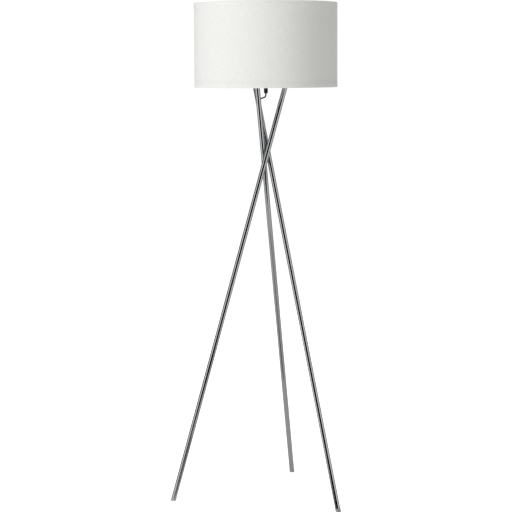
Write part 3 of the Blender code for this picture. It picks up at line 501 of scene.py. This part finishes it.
def coil_points():
    """Clockwise from above: in along the lower layer, up, and out along the upper one."""
    points, per_turn, climb_turns = [], 24, 0.4
    total = round(2 * COIL_TURNS * per_turn)
    for i in range(total + 1):
        turns = i / per_turn
        inward = 1.0 - abs(turns - COIL_TURNS) / COIL_TURNS
        radius = COIL_OUTER_TURN + (COIL_INNER_TURN - COIL_OUTER_TURN) * inward
        climb = min(1.0, max(0.0, (turns - COIL_TURNS + climb_turns / 2) / climb_turns))
        climb = climb * climb * (3 - 2 * climb)
        angle = math.pi / 2 - math.tau * turns
        points.append(Vector((COIL_CENTRE[0] + radius * math.cos(angle),
                              COIL_CENTRE[1] + radius * math.sin(angle),
                              COIL_LOW + (COIL_HIGH - COIL_LOW) * climb)))
    return points


def add_cord(name, points, *nodes):
    cord = tube_curve(name, points, CORD_DIAMETER / 2, LOOKS["lead"], sides=6)
    return stand_for(cord, "lead", *nodes)


def make_flex():
    flex = evenly(smooth_curve(flex_points()), FLEX_SPACING)
    loop = add_cord("flex_under_grip", flex, "flex_loop")


def make_lead_to_switch():
    first = evenly(smooth_curve(ROUTE_TO_SWITCH), LEAD_SPACING)
    near = add_cord("lead_foot_to_switch", first, "lead_to_switch")


def make_lead_to_plug():
    second = evenly(smooth_curve(ROUTE_TO_COIL), LEAD_SPACING) + coil_points()
    second += evenly(smooth_curve(ROUTE_TO_PLUG), PLUG_SPACING)
    far = add_cord("lead_switch_to_plug", second, "lead_to_coil", "lead_coil", "lead_to_plug")


# Legs

def make_legs():
    for side in SIDES:
        foot, top = leg_line(side)
        up = (top - foot).normalized()
        sine = math.sqrt(1 - up.z ** 2)
        start = foot + up * ((low_of("leg_" + side).z + LEG_RADIUS * sine) / up.z)
        matrix = along(up, start)
        length, chamfer, sides, steps = (top - start).length, 0.00025, 96, 24
        inner = LEG_RADIUS - LEG_WALL
        rings = [circle(inner, 0.0, sides), circle(LEG_RADIUS - chamfer, 0.0, sides),
                 circle(LEG_RADIUS, chamfer, sides)]
        rings += [circle(LEG_RADIUS, length * k / steps, sides) for k in range(1, steps)]
        level = matrix.to_3x3().inverted() @ Vector((0, 0, 1))
        for radius in (LEG_RADIUS, inner):
            ring = circle(radius, length, sides)
            for point in ring:
                point.z = length - (point.x * level.x + point.y * level.y) / level.z
            rings.append(ring)
        add_piece("tube_" + side, skin(rings, True), "chrome", matrix, "leg_" + side)


make_legs()


# Shade

def drum_profile():
    """The cloth in section, from its lower lip round the outside to its upper lip."""
    outer, body = SHADE_RADIUS, SHADE_RADIUS - HEM_BULGE
    low, high = SHADE_BOTTOM, SHADE_TOP
    soft, step_down, bands = 0.0009, 0.0006, 12
    half = [(outer - HEM_LIP, 0.0), (outer - soft, 0.0), (outer - soft * 0.3, soft * 0.3), (outer, soft),
            (outer, HEM_WIDTH - step_down), (body, HEM_WIDTH)]
    lower = [(r, low + z) for r, z in half]
    rise = [(body, low + HEM_WIDTH + (high - low - 2 * HEM_WIDTH) * k / bands) for k in range(1, bands)]
    return lower + rise + [(r, high - z) for r, z in reversed(half)]


def make_fabric():
    """One sheet of cloth with turned hems, and a lapped seam at the rear."""
    outside = drum_profile()
    sides, lip_thickness, dent_depth = DRUM_SIDES, 0.0006, 0.00008
    shape = bmesh.new()
    layer = shape.loops.layers.uv.new("cloth")
    wall, inside = SHADE_RADIUS - FABRIC_THICKNESS, []
    for r, z in outside:
        bottom = z < SHADE_BOTTOM + HEM_WIDTH / 2
        top = z > SHADE_TOP - HEM_WIDTH / 2
        lift = lip_thickness if bottom else (-lip_thickness if top else 0.0)
        inside.append((min(r, wall) if r > SHADE_RADIUS - 0.005 else r, z + lift))
    profile = outside + list(reversed(inside))
    reach = [0.0]
    for (r, z), (next_r, next_z) in zip(profile, profile[1:] + profile[:1]):
        reach.append(reach[-1] + math.hypot(next_r - r, next_z - z))
    grid = []
    for i in range(sides):
        angle = math.tau * i / sides
        gap = abs((angle - math.radians(SEAM_AZIMUTH) + math.pi) % math.tau - math.pi) * SHADE_RADIUS
        row = []
        for k, (r, z) in enumerate(profile):
            if k < len(outside) and SHADE_BOTTOM + HEM_WIDTH < z < SHADE_TOP - HEM_WIDTH:
                dent = noise(Vector((math.cos(angle) * 3, math.sin(angle) * 3, z * 9)))
                r += (SEAM_LAP if gap < SEAM_WIDTH / 2 else 0.0) + min(0.0, dent_depth * dent)
            row.append(shape.verts.new((AXIS.x + r * math.cos(angle), AXIS.y + r * math.sin(angle), z)))
        grid.append(row)
    step = math.tau * SHADE_RADIUS / sides
    for i in range(sides):
        j = (i + 1) % sides
        for k in range(len(profile)):
            m = (k + 1) % len(profile)
            face = shape.faces.new((grid[i][k], grid[j][k], grid[j][m], grid[i][m]))
            across = (i, i + 1, i + 1, i)
            rise = (reach[k], reach[k], reach[k + 1], reach[k + 1])
            for loop, u, v in zip(face.loops, across, rise):
                loop[layer].uv = (u * step, v)
    bmesh.ops.recalc_face_normals(shape, faces=shape.faces)
    mesh = bpy.data.meshes.new("drum_cloth")
    shape.to_mesh(mesh)
    shape.free()
    mesh.shade_smooth()
    mesh.set_sharp_from_angle(angle=math.radians(50))
    cloth = add_object("drum_cloth", mesh, LOOKS["fabric"])
    stand_for(cloth, "fabric", "shade_fabric")


def make_liner():
    outer = radius_of("shade_liner")
    low, high = low_of("shade_liner").z, high_of("shade_liner").z
    inner = outer - LINER_THICKNESS
    profile = [(outer, low), (outer, high), (inner, high), (inner, low)]
    add_piece("drum_liner", turned(profile, DRUM_SIDES, True), "liner", AT_AXIS, "shade_liner")


def ring_points(radius, height, count=72):
    return [AXIS + compass(360.0 * i / count) * radius + Vector((0, 0, height)) for i in range(count)]


def add_wire(name, points, cyclic, *nodes):
    wire = tube_curve(name, points, WIRE_RADIUS, LOOKS["wire_enamel"], cyclic)
    return stand_for(wire, "wire_enamel", *nodes)


def make_wire_rings():
    radius = radius_of("shade_top_ring") - WIRE_RADIUS
    high = middle_of("shade_top_ring").z
    add_wire("drum_top_wire", ring_points(radius, high), True, "shade_top_ring")
    low = low_of("shade_fitter").z + WIRE_RADIUS
    add_wire("drum_lower_wire", ring_points(radius, low), True, "shade_fitter")


def make_fitter():
    """The flat ring that the lampholder clamps, and its three arms to the lower wire."""
    radius = radius_of("shade_top_ring") - WIRE_RADIUS
    low, hub_top = low_of("shade_fitter").z + WIRE_RADIUS, high_of("shade_fitter").z
    hole, rim, thick, edge = 0.0206, 0.0270, 0.0015, 0.0003
    hub = [(hole, hub_top - thick), (rim - edge, hub_top - thick), (rim, hub_top - thick + edge),
           (rim, hub_top - edge), (rim - edge, hub_top), (hole + edge, hub_top), (hole, hub_top - edge)]
    add_piece("fitter_ring", turned(hub, closed=True), "wire_enamel", AT_AXIS)
    for number, azimuth in enumerate(ARM_AZIMUTHS, 1):
        way = compass(azimuth)
        spots = [(0.0235, hub_top - 0.0019), (0.0290, hub_top - 0.0024), (0.0400, hub_top - 0.0060),
                 (0.1200, hub_top - 0.0250), (radius - 0.012, low + 0.0035), (radius, low)]
        line = [AXIS + way * out + Vector((0, 0, height)) for out, height in spots]
        add_wire(f"fitter_arm_{number}", evenly(smooth_curve(line), ARM_SPACING), False)


make_fabric()
make_liner()
make_wire_rings()
make_fitter()


# Cord grip and bulb

def make_grip():
    low, high, outer = low_of("cord_grip").z, high_of("cord_grip").z, radius_of("cord_grip")
    hole, sides, thread, shelf = CORD_HOLE_RADIUS, 120, 0.0053, low + 0.021
    groove, flute_depth = 0.0004, 0.00035
    flutes_from = low + 0.0091
    profile = [(hole, low + 0.0004), (0.0048, low), (0.0054, low + 0.0003), (outer, low + 0.0045),
               (outer, low + 0.0075), (outer - groove, low + 0.0080), (outer - groove, low + 0.0086),
               (outer, flutes_from), (outer, high - 0.0006), (outer - 0.0006, high), (thread, high),
               (thread, shelf), (hole, shelf)]
    rings = []
    for radius, height in profile:
        ring = circle(radius, height, sides)
        if radius == outer and height >= flutes_from:
            for i, point in enumerate(ring):
                flute = 1.0 - (flute_depth if i % 5 in (0, 1) else 0.0) / radius
                point.x, point.y = point.x * flute, point.y * flute
        rings.append(ring)
    add_piece("fluted_grip", skin(rings, True), "black_plastic", AT_AXIS, "cord_grip")


def make_bulb_neck():
    low, seam = low_of("bulb_body").z, high_of("bulb_body").z
    knots = [(0.0130, low), (0.0140, low + 0.006), (0.0185, low + 0.018), (0.0250, low + 0.033),
             (0.0280, seam)]
    outside = [(p.x, p.z) for p in smooth_curve([Vector((r, 0, z)) for r, z in knots], 6)]
    inside = [(r - BULB_NECK_WALL, z) for r, z in reversed(outside)]
    add_piece("bulb_neck", turned(outside + inside, closed=True), "bulb_white", AT_AXIS,
              "bulb_body", body="bulb")


def make_bulb_globe():
    top, radius = high_of("bulb_diffuser").z, radius_of("bulb_diffuser")
    centre = top - radius
    start = math.asin((low_of("bulb_diffuser").z - centre) / radius)
    steps = 24
    turns = [start + (math.pi / 2 - start) * i / steps for i in range(steps + 1)]
    dome = [(radius * math.cos(a), centre + radius * math.sin(a)) for a in turns]
    wall = radius - BULB_GLOBE_WALL
    hollow = [(wall * math.cos(a), centre + wall * math.sin(a)) for a in reversed(turns)]
    dome[-1], hollow[0] = (0, top), (0, top - BULB_GLOBE_WALL)
    hollow[-1] = (hollow[-1][0], dome[0][1])
    globe = add_object("bulb_globe", turned(dome + hollow, closed=True), LOOKS["frosted"], AT_AXIS)
    stand_for(globe, "bulb_white", "bulb_diffuser", body="bulb")


def threaded_sheet(low, high, core, crest, nose, flare):
    """Rings of thin metal with a rolled thread, which fades out before each rim.

    The lower rim is drawn in by nose, and the upper one spreads by flare.
    """
    sides, steps, layers = 72, round((high - low) / (E27_PITCH / 6)), []
    plain_low, plain_high, run_in, run_out = 0.0015, 0.0030, 0.0030, 0.0020
    for wall in (0.0, THREAD_SHEET):
        layer = []
        for k in range(steps + 1):
            z = low + (high - low) * k / steps
            fade = min(1.0, max(0.0, (z - low - plain_low) / run_in),
                       max(0.0, (high - plain_high - z) / run_out))
            ends = (flare * max(0.0, 1 - (high - z) / run_out)
                    - nose * max(0.0, 1 - (z - low) / plain_low))
            ring = []
            for i in range(sides):
                angle = math.tau * i / sides
                wave = 0.5 + 0.5 * math.cos(math.tau * (z - low) / E27_PITCH - angle)
                radius = core + (crest - core) * wave * fade + ends - wall
                ring.append(Vector((radius * math.cos(angle), radius * math.sin(angle), z)))
            layer.append(ring)
        layers.append(layer)
    return layers[0] + layers[1][::-1]


def make_threads():
    low, high = low_of("bulb_cap").z, high_of("bulb_cap").z
    rings = threaded_sheet(low, high, CAP_CORE, CAP_CREST, nose=0.0012, flare=0.0009)
    add_piece("bulb_screw_cap", skin(rings, True), "steel", AT_AXIS, "bulb_cap", body="bulb")
    low, high = low_of("screw_shell").z, high_of("screw_shell").z
    rings = threaded_sheet(low, high, SHELL_CORE, SHELL_CREST, nose=0.0, flare=0.0008)
    add_piece("brass_screw_shell", skin(rings, True), "brass", AT_AXIS, "screw_shell")


make_grip()
make_bulb_neck()
make_bulb_globe()
make_threads()


# Lampholder

def fluted(rings, chosen, depth, every):
    """Cut shallow flutes up the chosen rings of a turned shape."""
    for k in chosen:
        for i, point in enumerate(rings[k]):
            if i % every < every / 2:
                factor = 1.0 - depth / math.hypot(point.x, point.y)
                point.x, point.y = point.x * factor, point.y * factor
    return rings


def make_holder_cap():
    low, seam = low_of("holder_cap").z, high_of("holder_cap").z
    outer, bore, wall = radius_of("holder_cap"), 0.0053, 0.0025
    knots = [(0.0118, low), (0.0152, low + 0.0025), (0.0172, low + 0.0058), (0.0184, low + 0.0095),
             (outer, low + 0.0122)]
    bowl = [(p.x, p.z) for p in smooth_curve([Vector((r, 0, z)) for r, z in knots], 5)]
    profile = [(bore, low), *bowl, (outer, seam - 0.0003), (outer - 0.0003, seam), (outer - 0.0020, seam),
               (0.0150, low + 0.0066), (0.0105, low + wall), (bore, low + wall)]
    add_piece("lampholder_cap", turned(profile, closed=True), "black_plastic", AT_AXIS, "holder_cap")


def make_holder_body():
    """The body's lower band meets the cap, and its threaded upper part takes the ring nut."""
    low, high, outer = low_of("holder_body").z, high_of("holder_body").z, radius_of("holder_cap")
    seat, shoulder = low + 0.0122, low + 0.0143
    thread, mouth, inner = 0.0192, 0.0152, 0.0170
    profile = [(inner, low), (outer - 0.0003, low), (outer, low + 0.0003), (outer, seat - 0.0034),
               (0.0235, seat - 0.0021), (0.0240, seat - 0.0016), (0.0240, seat - 0.0003),
               (0.0237, seat), (thread, seat)]
    for ridge in range(3):
        foot = seat + 0.0125 + ridge * 0.0040
        profile += [(thread, foot), (thread + 0.0006, foot + 0.0012), (thread + 0.0007, foot + 0.0020),
                    (thread + 0.0004, foot + 0.0027)]
    profile += [(thread - 0.0002, high - 0.0006), (thread - 0.0008, high), (mouth + 0.0004, high),
                (mouth, high - 0.0004), (mouth, shoulder), (inner, shoulder)]
    add_piece("lampholder_body", turned(profile, closed=True), "black_plastic", AT_AXIS, "holder_body")


def make_ring_nut():
    low, high, rim = low_of("shade_ring_nut").z, high_of("shade_ring_nut").z, radius_of("shade_ring_nut")
    inner = 0.0202
    profile = [(inner, low), (rim - 0.0008, low), (rim, low + 0.0008), (rim, low + 0.0046),
               (rim - 0.0005, low + 0.0052), (rim - 0.0021, high - 0.0006), (rim - 0.0027, high),
               (inner, high)]
    rings = fluted([circle(r, z, 192) for r, z in profile], (2, 3), 0.0005, 8)
    add_piece("fluted_ring_nut", skin(rings, True), "black_plastic", AT_AXIS, "shade_ring_nut")


make_holder_cap()
make_holder_body()
make_ring_nut()


# Strain reliefs, foot switch, plug and tie

def relief(name, node, slot, matrix, start, collar, end, ribs=6):
    """A ribbed sleeve along Z that tapers from its collar to the lead."""
    wide, narrow, groove = 0.0044, 0.0031, 0.0006
    profile = [(CORD_HOLE_RADIUS, start), (0.0032, start), (0.0032, collar), (wide - 0.0003, collar),
               (wide, collar + 0.0003), (wide, collar + 0.0032)]
    pitch = (end - collar - 0.0040) / ribs
    for rib in range(ribs):
        foot = collar + 0.0036 + rib * pitch
        size = wide + (narrow - wide) * (rib + 0.5) / ribs
        profile += [(size - groove, foot), (size - groove, foot + pitch * 0.35),
                    (size, foot + pitch * 0.45), (size - 0.0001, foot + pitch * 0.95)]
    profile += [(narrow, end - 0.0003), (narrow - 0.0002, end), (CORD_HOLE_RADIUS, end)]
    add_piece(name, turned(profile, 48, True), slot, matrix, node)


def make_reliefs():
    low, high = low_of("switch_cover"), high_of("switch_cover")
    middle, wall, seam = (low + high) / 2, (high.x - low.x) / 2, middle_of("switch_relief_in").z
    for name, side in (("relief_in", 1), ("relief_out", -1)):
        matrix = along((side, 0, 0), (middle.x, middle.y, seam))
        relief(name, "switch_" + name, "rubber", matrix,
               start=wall - 0.0040, collar=wall + 0.0003, end=wall + 0.0238)
    foot, top = leg_line(CORD_LEG)
    corner = foot.lerp(top, OUTLET_HEIGHT / top.z)
    matrix = along(compass(OUTLET_AZIMUTH), corner)
    relief("relief_at_foot", "outlet_bush", "foot_plastic", matrix,
           start=0.0058, collar=0.0100, end=0.0343)


ARC = 20                    # steps of a switch casing's round end


def stadium(length, width, height):
    """An outline with round ends, long way along X."""
    radius, straight, ring = width / 2, (length - width) / 2, []
    for end, start in ((straight, -90), (-straight, 90)):
        for step in range(ARC + 1):
            turn = math.radians(start + 180 * step / ARC)
            ring.append(Vector((end + radius * math.cos(turn), radius * math.sin(turn), height)))
    return ring


def eye(radius, height):
    """A circle with as many points as a stadium, from the same corner."""
    count = 2 * (ARC + 1)
    turns = [math.radians(360 * (i - count / 4 + 0.5) / count) for i in range(count)]
    return [Vector((radius * math.cos(a), radius * math.sin(a), height)) for a in turns]


def rounding(size, steps=6):
    """How far a quarter round has gone in and up, from its side to its top."""
    turns = [math.pi / 2 * k / steps for k in range(steps + 1)]
    return [(size * (1 - math.cos(a)), size * math.sin(a)) for a in turns]


def carve(item, cutter):
    """Cut a shape out of a piece for good."""
    tool = bpy.data.objects.new("cutter", cutter)
    bpy.context.scene.collection.objects.link(tool)
    step = item.modifiers.new("cut", "BOOLEAN")
    step.object = tool
    bpy.context.view_layer.update()
    result = bpy.data.meshes.new_from_object(item.evaluated_get(bpy.context.evaluated_depsgraph_get()))
    result.set_sharp_from_angle(angle=math.radians(30))
    item.modifiers.clear()
    item.data = result
    bpy.data.objects.remove(tool)


def make_spring():
    """A compression spring, closer wound at its ends."""
    low, high, coil = low_of("switch_spring"), high_of("switch_spring"), radius_of("switch_spring")
    wire, turns, steps, sides = SPRING_WIRE, SPRING_TURNS, 32, 10
    centre, reach = middle_of("switch_spring"), coil - wire
    rings = []
    for i in range(turns * steps + 1):
        share = i / (turns * steps)
        rise = share * share * (3 - 2 * share) * 0.45 + share * 0.55
        angle = math.tau * turns * share
        out = Vector((math.cos(angle), math.sin(angle), 0))
        height = low.z + wire + (high.z - low.z - 2 * wire) * rise
        spot = Vector((centre.x, centre.y, height)) + out * reach
        rings.append([spot + (out * math.cos(math.tau * k / sides)
                              + Vector((0, 0, 1)) * math.sin(math.tau * k / sides)) * wire
                      for k in range(sides)])
    spring = add_object("key_spring", skin(rings), LOOKS["steel"])
    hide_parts("switch_spring")
    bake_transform(spring)


def casing():
    """The foot switch's place on the floor, its length and its width."""
    low, high = low_of("switch_base"), high_of("switch_base")
    place = Matrix.Translation(((low.x + high.x) / 2, (low.y + high.y) / 2, 0))
    return place, high.x - low.x, high.y - low.y


def make_switch_base():
    """A tray with rounded edges, and a recess in its sole for each screw."""
    place, length, width = casing()
    floor, seam = low_of("switch_base").z, high_of("switch_base").z
    wall, edge, lip = FOOT_SWITCH_WALL, 0.0012, CASING_LIP
    rings = []
    for up in (edge * k / 5 for k in range(6)):
        height = floor + edge - math.sqrt(max(0.0, edge ** 2 - up ** 2))
        rings.append(stadium(length - 2 * (edge - up), width - 2 * (edge - up), height))
    rings += [stadium(length, width, seam - lip), stadium(length - lip, width - lip, seam),
              stadium(length - 2 * wall, width - 2 * wall, seam),
              stadium(length - 2 * wall, width - 2 * wall, floor + 0.0022)]
    base = add_object("foot_switch_base", skin(rings), LOOKS["black_plastic"], place)
    head, shank, through = 0.0030, 0.0017, 0.0040
    sink = [(0, -0.0010), (head, -0.0010), (head, 0.0010), (shank, 0.0022), (shank, through), (0, through)]
    for node in ("switch_screw_1", "switch_screw_2"):
        cutter = turned(sink, 48)
        cutter.transform(Matrix.Translation((middle_of(node).x, middle_of(node).y, 0)))
        carve(base, cutter)
    stand_for(base, "black_plastic", "switch_base")


def make_switch_cover():
    """A rounded cover with a beaded mouth for the button."""
    place, length, width = casing()
    seam, top = low_of("switch_cover").z, high_of("switch_cover").z
    wall, lip = FOOT_SWITCH_WALL, CASING_LIP
    button = radius_of("switch_button") - BUTTON_FLANGE + BUTTON_PLAY
    soft, bead, mouth_depth = 0.0046, 0.0004, 0.0020
    rings = [stadium(length - lip, width - lip, seam), stadium(length, width, seam + lip)]
    rings += [stadium(length - 2 * inset, width - 2 * inset, top - soft + rise)
              for inset, rise in rounding(soft, 8)]
    rings += [eye(button + 0.0014, top), eye(button + 0.0011, top + bead),
              eye(button + 0.0004, top + bead), eye(button, top), eye(button, top - mouth_depth),
              stadium(length - 2 * soft, width - 2 * soft, top - mouth_depth),
              stadium(length - 2 * wall, width - 2 * wall, top - soft),
              stadium(length - 2 * wall, width - 2 * wall, seam)]
    add_piece("foot_switch_cover", skin(rings, True), "black_plastic", place, "switch_cover")


def make_switch_button():
    place = casing()[0]
    low, high, flange = low_of("switch_button").z, high_of("switch_button").z, radius_of("switch_button")
    side = flange - BUTTON_FLANGE
    profile = [(0, low), (flange - 0.0002, low), (flange - 0.0002, low + 0.0018), (side, low + 0.0020)]
    profile += [(side - inset, high - 0.0028 + rise) for inset, rise in rounding(0.0022)]
    profile += [(0.0086, high - 0.0005), (0.0083, high - 0.0010), (0.0077, high - 0.0010),
                (0.0074, high - 0.0003), (0.0040, high - 0.0001), (0, high)]
    add_piece("foot_switch_button", turned(profile, 72), "grey_plastic", place,
              "switch_button", body="switch_button")


def make_plug():
    """A flat two-pin plug: a ribbed neck, then a body that swells and narrows to a flat face."""
    # Width, height, and how far along
    stations = [(0.0064, 0.0064, 0.0), (0.0070, 0.0069, -0.0080), (0.0080, 0.0077, -0.0170),
                (0.0120, 0.0100, -0.0225), (0.0235, 0.0125, -0.0300), (0.0330, 0.0137, -0.0370),
                (0.0348, 0.0137, -0.0420), (0.0312, 0.0137, -0.0470), (0.0284, 0.0137, -0.0510),
                (0.0278, 0.0133, -0.0524), (0.0262, 0.0125, -0.0530)]
    sides, squareness, neck_end, rib_pitch, rib_groove = 64, 0.55, -0.0160, 0.0026, 0.0009
    rings = []
    for width, height, x in smooth_curve([Vector(station) for station in stations], 8):
        groove = rib_groove if x > neck_end and (x / rib_pitch) % 1.0 < 0.4 else 0.0
        ring = []
        for i in range(sides):
            angle = math.tau * (i + 0.5) / sides
            side, rise = math.cos(angle), math.sin(angle)
            across = math.copysign(abs(side) ** squareness, side)
            up = math.copysign(abs(rise) ** squareness, rise)
            ring.append(Vector((x, (width - groove) / 2 * across, (height - groove) / 2 * up)))
        rings.append(ring)
    place = Matrix.Translation(PLUG_BACK) @ Matrix.Rotation(math.radians(PLUG_TURN), 4, "Z")
    add_piece("two_pin_plug", skin(rings, sharp=40.0), "black_plastic", place, "plug_body")


def rounded_loop(low, high, radius, y, steps=6):
    """An upright rounded rectangle across Y, from its low to its high corner in X and Z."""
    ring = []
    corners = ((high[0], low[1], -90), (high[0], high[1], 0),
               (low[0], high[1], 90), (low[0], low[1], 180))
    for x, z, start in corners:
        centre = (x - math.copysign(radius, x - (low[0] + high[0]) / 2),
                  z - math.copysign(radius, z - (low[1] + high[1]) / 2))
        for step in range(steps + 1):
            turn = math.radians(start + 90 * step / steps)
            ring.append(Vector((centre[0] + radius * math.cos(turn), y,
                                centre[1] + radius * math.sin(turn))))
    return ring


def make_tie():
    low, high = low_of("coil_tie"), high_of("coil_tie")
    half, band, edge, soft = (high.y - low.y) / 2, STRAP_THICKNESS, 0.0003, 0.0030
    outer = ((low.x, low.z), (high.x, high.z))
    inner = ((low.x + band, low.z + band), (high.x - band, high.z - band))
    slim = ((low.x + edge, low.z + edge), (high.x - edge, high.z - edge))
    rings = [rounded_loop(*slim, soft - edge, -half), rounded_loop(*outer, soft, edge - half),
             rounded_loop(*outer, soft, half - edge), rounded_loop(*slim, soft - edge, half),
             rounded_loop(*inner, soft - band, half), rounded_loop(*inner, soft - band, -half)]
    place = Matrix.Translation((0, (low.y + high.y) / 2, 0))
    add_piece("coil_strap", skin(rings, True), "rubber", place, "coil_tie")


make_reliefs()
make_switch_base()
make_switch_cover()
make_switch_button()
make_spring()
make_plug()
make_tie()
make_flex()
make_lead_to_switch()
make_lead_to_plug()


# CAD pieces that keep their shape

def dress_nodes():
    slots = {part["node"]: part["material_slot"] for part in frame["record"]["subparts"]}
    for name, item in NODES.items():
        item.data.materials.clear()
        item.data.materials.append(LOOKS[slots[name]])


dress_nodes()


# Room

FLOOR_SIDE = 30.0
FLOOR_GAP = 0.0002          # below the feet, so that the two don't touch
LAMP_MIDDLE = 0.9           # the height that the lights face
# Name, azimuth from the camera's side, distance, height, width and length, grey, and if it lies
CARDS = (
    ("dark_card", -4.0, 1.3, 1.25, (2.00, 2.5), 0.0, False),
    ("grey_floor_card", -10.0, 0.62, 0.001, (0.56, 0.9), 0.18, True),
    ("bright_card_left", -57.0, 1.7, 1.25, (1.0, 2.5), 1.10, False),
    ("bright_card_right", 50.0, 1.7, 1.25, (1.0, 2.5), 1.00, False),
    ("grey_card_right", 104.0, 2.0, 1.25, (2.6, 2.5), 0.42, False),
)
# Name, azimuth from the camera's side, distance, height, width and length, watts
LIGHTS = (
    ("key_light", -48.0, 3.6, 2.0, (1.8, 2.4), 66.0),
    ("fill_light", 22.0, 4.5, 1.9, (2.5, 2.5), 16.0),
    ("rear_light", 172.0, 4.0, 2.0, (3.0, 2.5), 34.0),
)


def stage_object(name, mesh, material, matrix):
    item = add_object(name, mesh, material, matrix)
    return item


def plane_mesh(width, height):
    mesh = bpy.data.meshes.new("plane")
    x, y = width / 2, height / 2
    mesh.from_pydata([(-x, -y, 0), (x, -y, 0), (x, y, 0), (-x, y, 0)], [], [(0, 1, 2, 3)])
    return mesh


def room_way(azimuth):
    """The direction at an azimuth that counts from the camera's side."""
    return compass(CAMERA_AZIMUTH - 90.0 + azimuth)


def facing(direction):
    """A turn that makes a light or card look along a direction."""
    return direction.to_track_quat("-Z", "Y").to_matrix().to_4x4()


def by_ray(tree, socket, base, camera, glossy):
    """Sets a strength to one value for the view, one for reflections, one for light that spreads."""
    path = tree.nodes.new("ShaderNodeLightPath")
    total = None
    for ray, value in (("Is Camera Ray", camera - base), ("Is Glossy Ray", glossy - base)):
        step = tree.nodes.new("ShaderNodeMath")
        step.operation = "MULTIPLY_ADD"
        step.inputs[1].default_value = value
        step.inputs[2].default_value = base
        tree.links.new(path.outputs[ray], step.inputs[0])
        if total is not None:
            tree.links.new(total, step.inputs[2])
        total = step.outputs[0]
    tree.links.new(total, socket)


def make_floor():
    material = bpy.data.materials.new("studio_floor")
    material.use_nodes = True
    tree = material.node_tree
    shader = tree.nodes["Principled BSDF"]
    by_ray(tree, shader.inputs["Base Color"], base=0.86, camera=0.86, glossy=0.66)
    shader.inputs["Roughness"].default_value = 0.9
    shader.inputs["Specular IOR Level"].default_value = 0.1
    shader.inputs["Emission Color"].default_value = (1.0, 1.0, 1.0, 1.0)
    by_ray(tree, shader.inputs["Emission Strength"], base=0.10, camera=0.76, glossy=0.03)
    stage_object("floor", plane_mesh(FLOOR_SIDE, FLOOR_SIDE), material,
                 Matrix.Translation((0, 0, -FLOOR_GAP)))


def make_card(name, azimuth, distance, height, size, grey, lying):
    """A card, upright or lying on the floor, that only shows in reflections."""
    material = bpy.data.materials.new(name)
    material.use_nodes = True
    shader = material.node_tree.nodes["Principled BSDF"]
    shader.inputs["Base Color"].default_value = (0.0, 0.0, 0.0, 1.0)
    shader.inputs["Specular IOR Level"].default_value = 0.0
    shader.inputs["Emission Color"].default_value = (1.0, 1.0, 1.0, 1.0)
    shader.inputs["Emission Strength"].default_value = grey
    way = room_way(azimuth)
    turn = Matrix.Rotation(math.atan2(-way.x, way.y), 4, "Z") if lying else facing(-way)
    spot = Matrix.Translation(AXIS + way * distance + Vector((0, 0, height)))
    card = stage_object(name, plane_mesh(*size), material, spot @ turn)
    card.visible_camera = False
    card.visible_diffuse = False
    card.visible_shadow = False
    card.visible_transmission = False


def make_light(name, azimuth, distance, height, size, power):
    """An area light that faces the lamp's middle and doesn't show in reflections."""
    light = bpy.data.lights.new(name, "AREA")
    light.shape = "RECTANGLE"
    light.size, light.size_y = size
    light.energy = power
    item = bpy.data.objects.new(name, light)
    bpy.context.scene.collection.objects.link(item)
    spot = AXIS + room_way(azimuth) * distance + Vector((0, 0, height))
    aim = AXIS + Vector((0, 0, LAMP_MIDDLE)) - spot
    item.matrix_world = Matrix.Translation(spot) @ facing(aim)
    item.visible_glossy = False


def make_world():
    world = bpy.data.worlds.new("studio")
    bpy.context.scene.world = world
    world.use_nodes = True
    tree = world.node_tree
    back = tree.nodes["Background"]
    back.inputs["Color"].default_value = (1.0, 0.998, 0.965, 1.0)
    by_ray(tree, back.inputs["Strength"], base=0.43, camera=1.05, glossy=0.15)


make_world()
make_floor()
for card in CARDS:
    make_card(*card)
for light in LIGHTS:
    make_light(*light)
bpy.context.scene.view_settings.view_transform = "Standard"
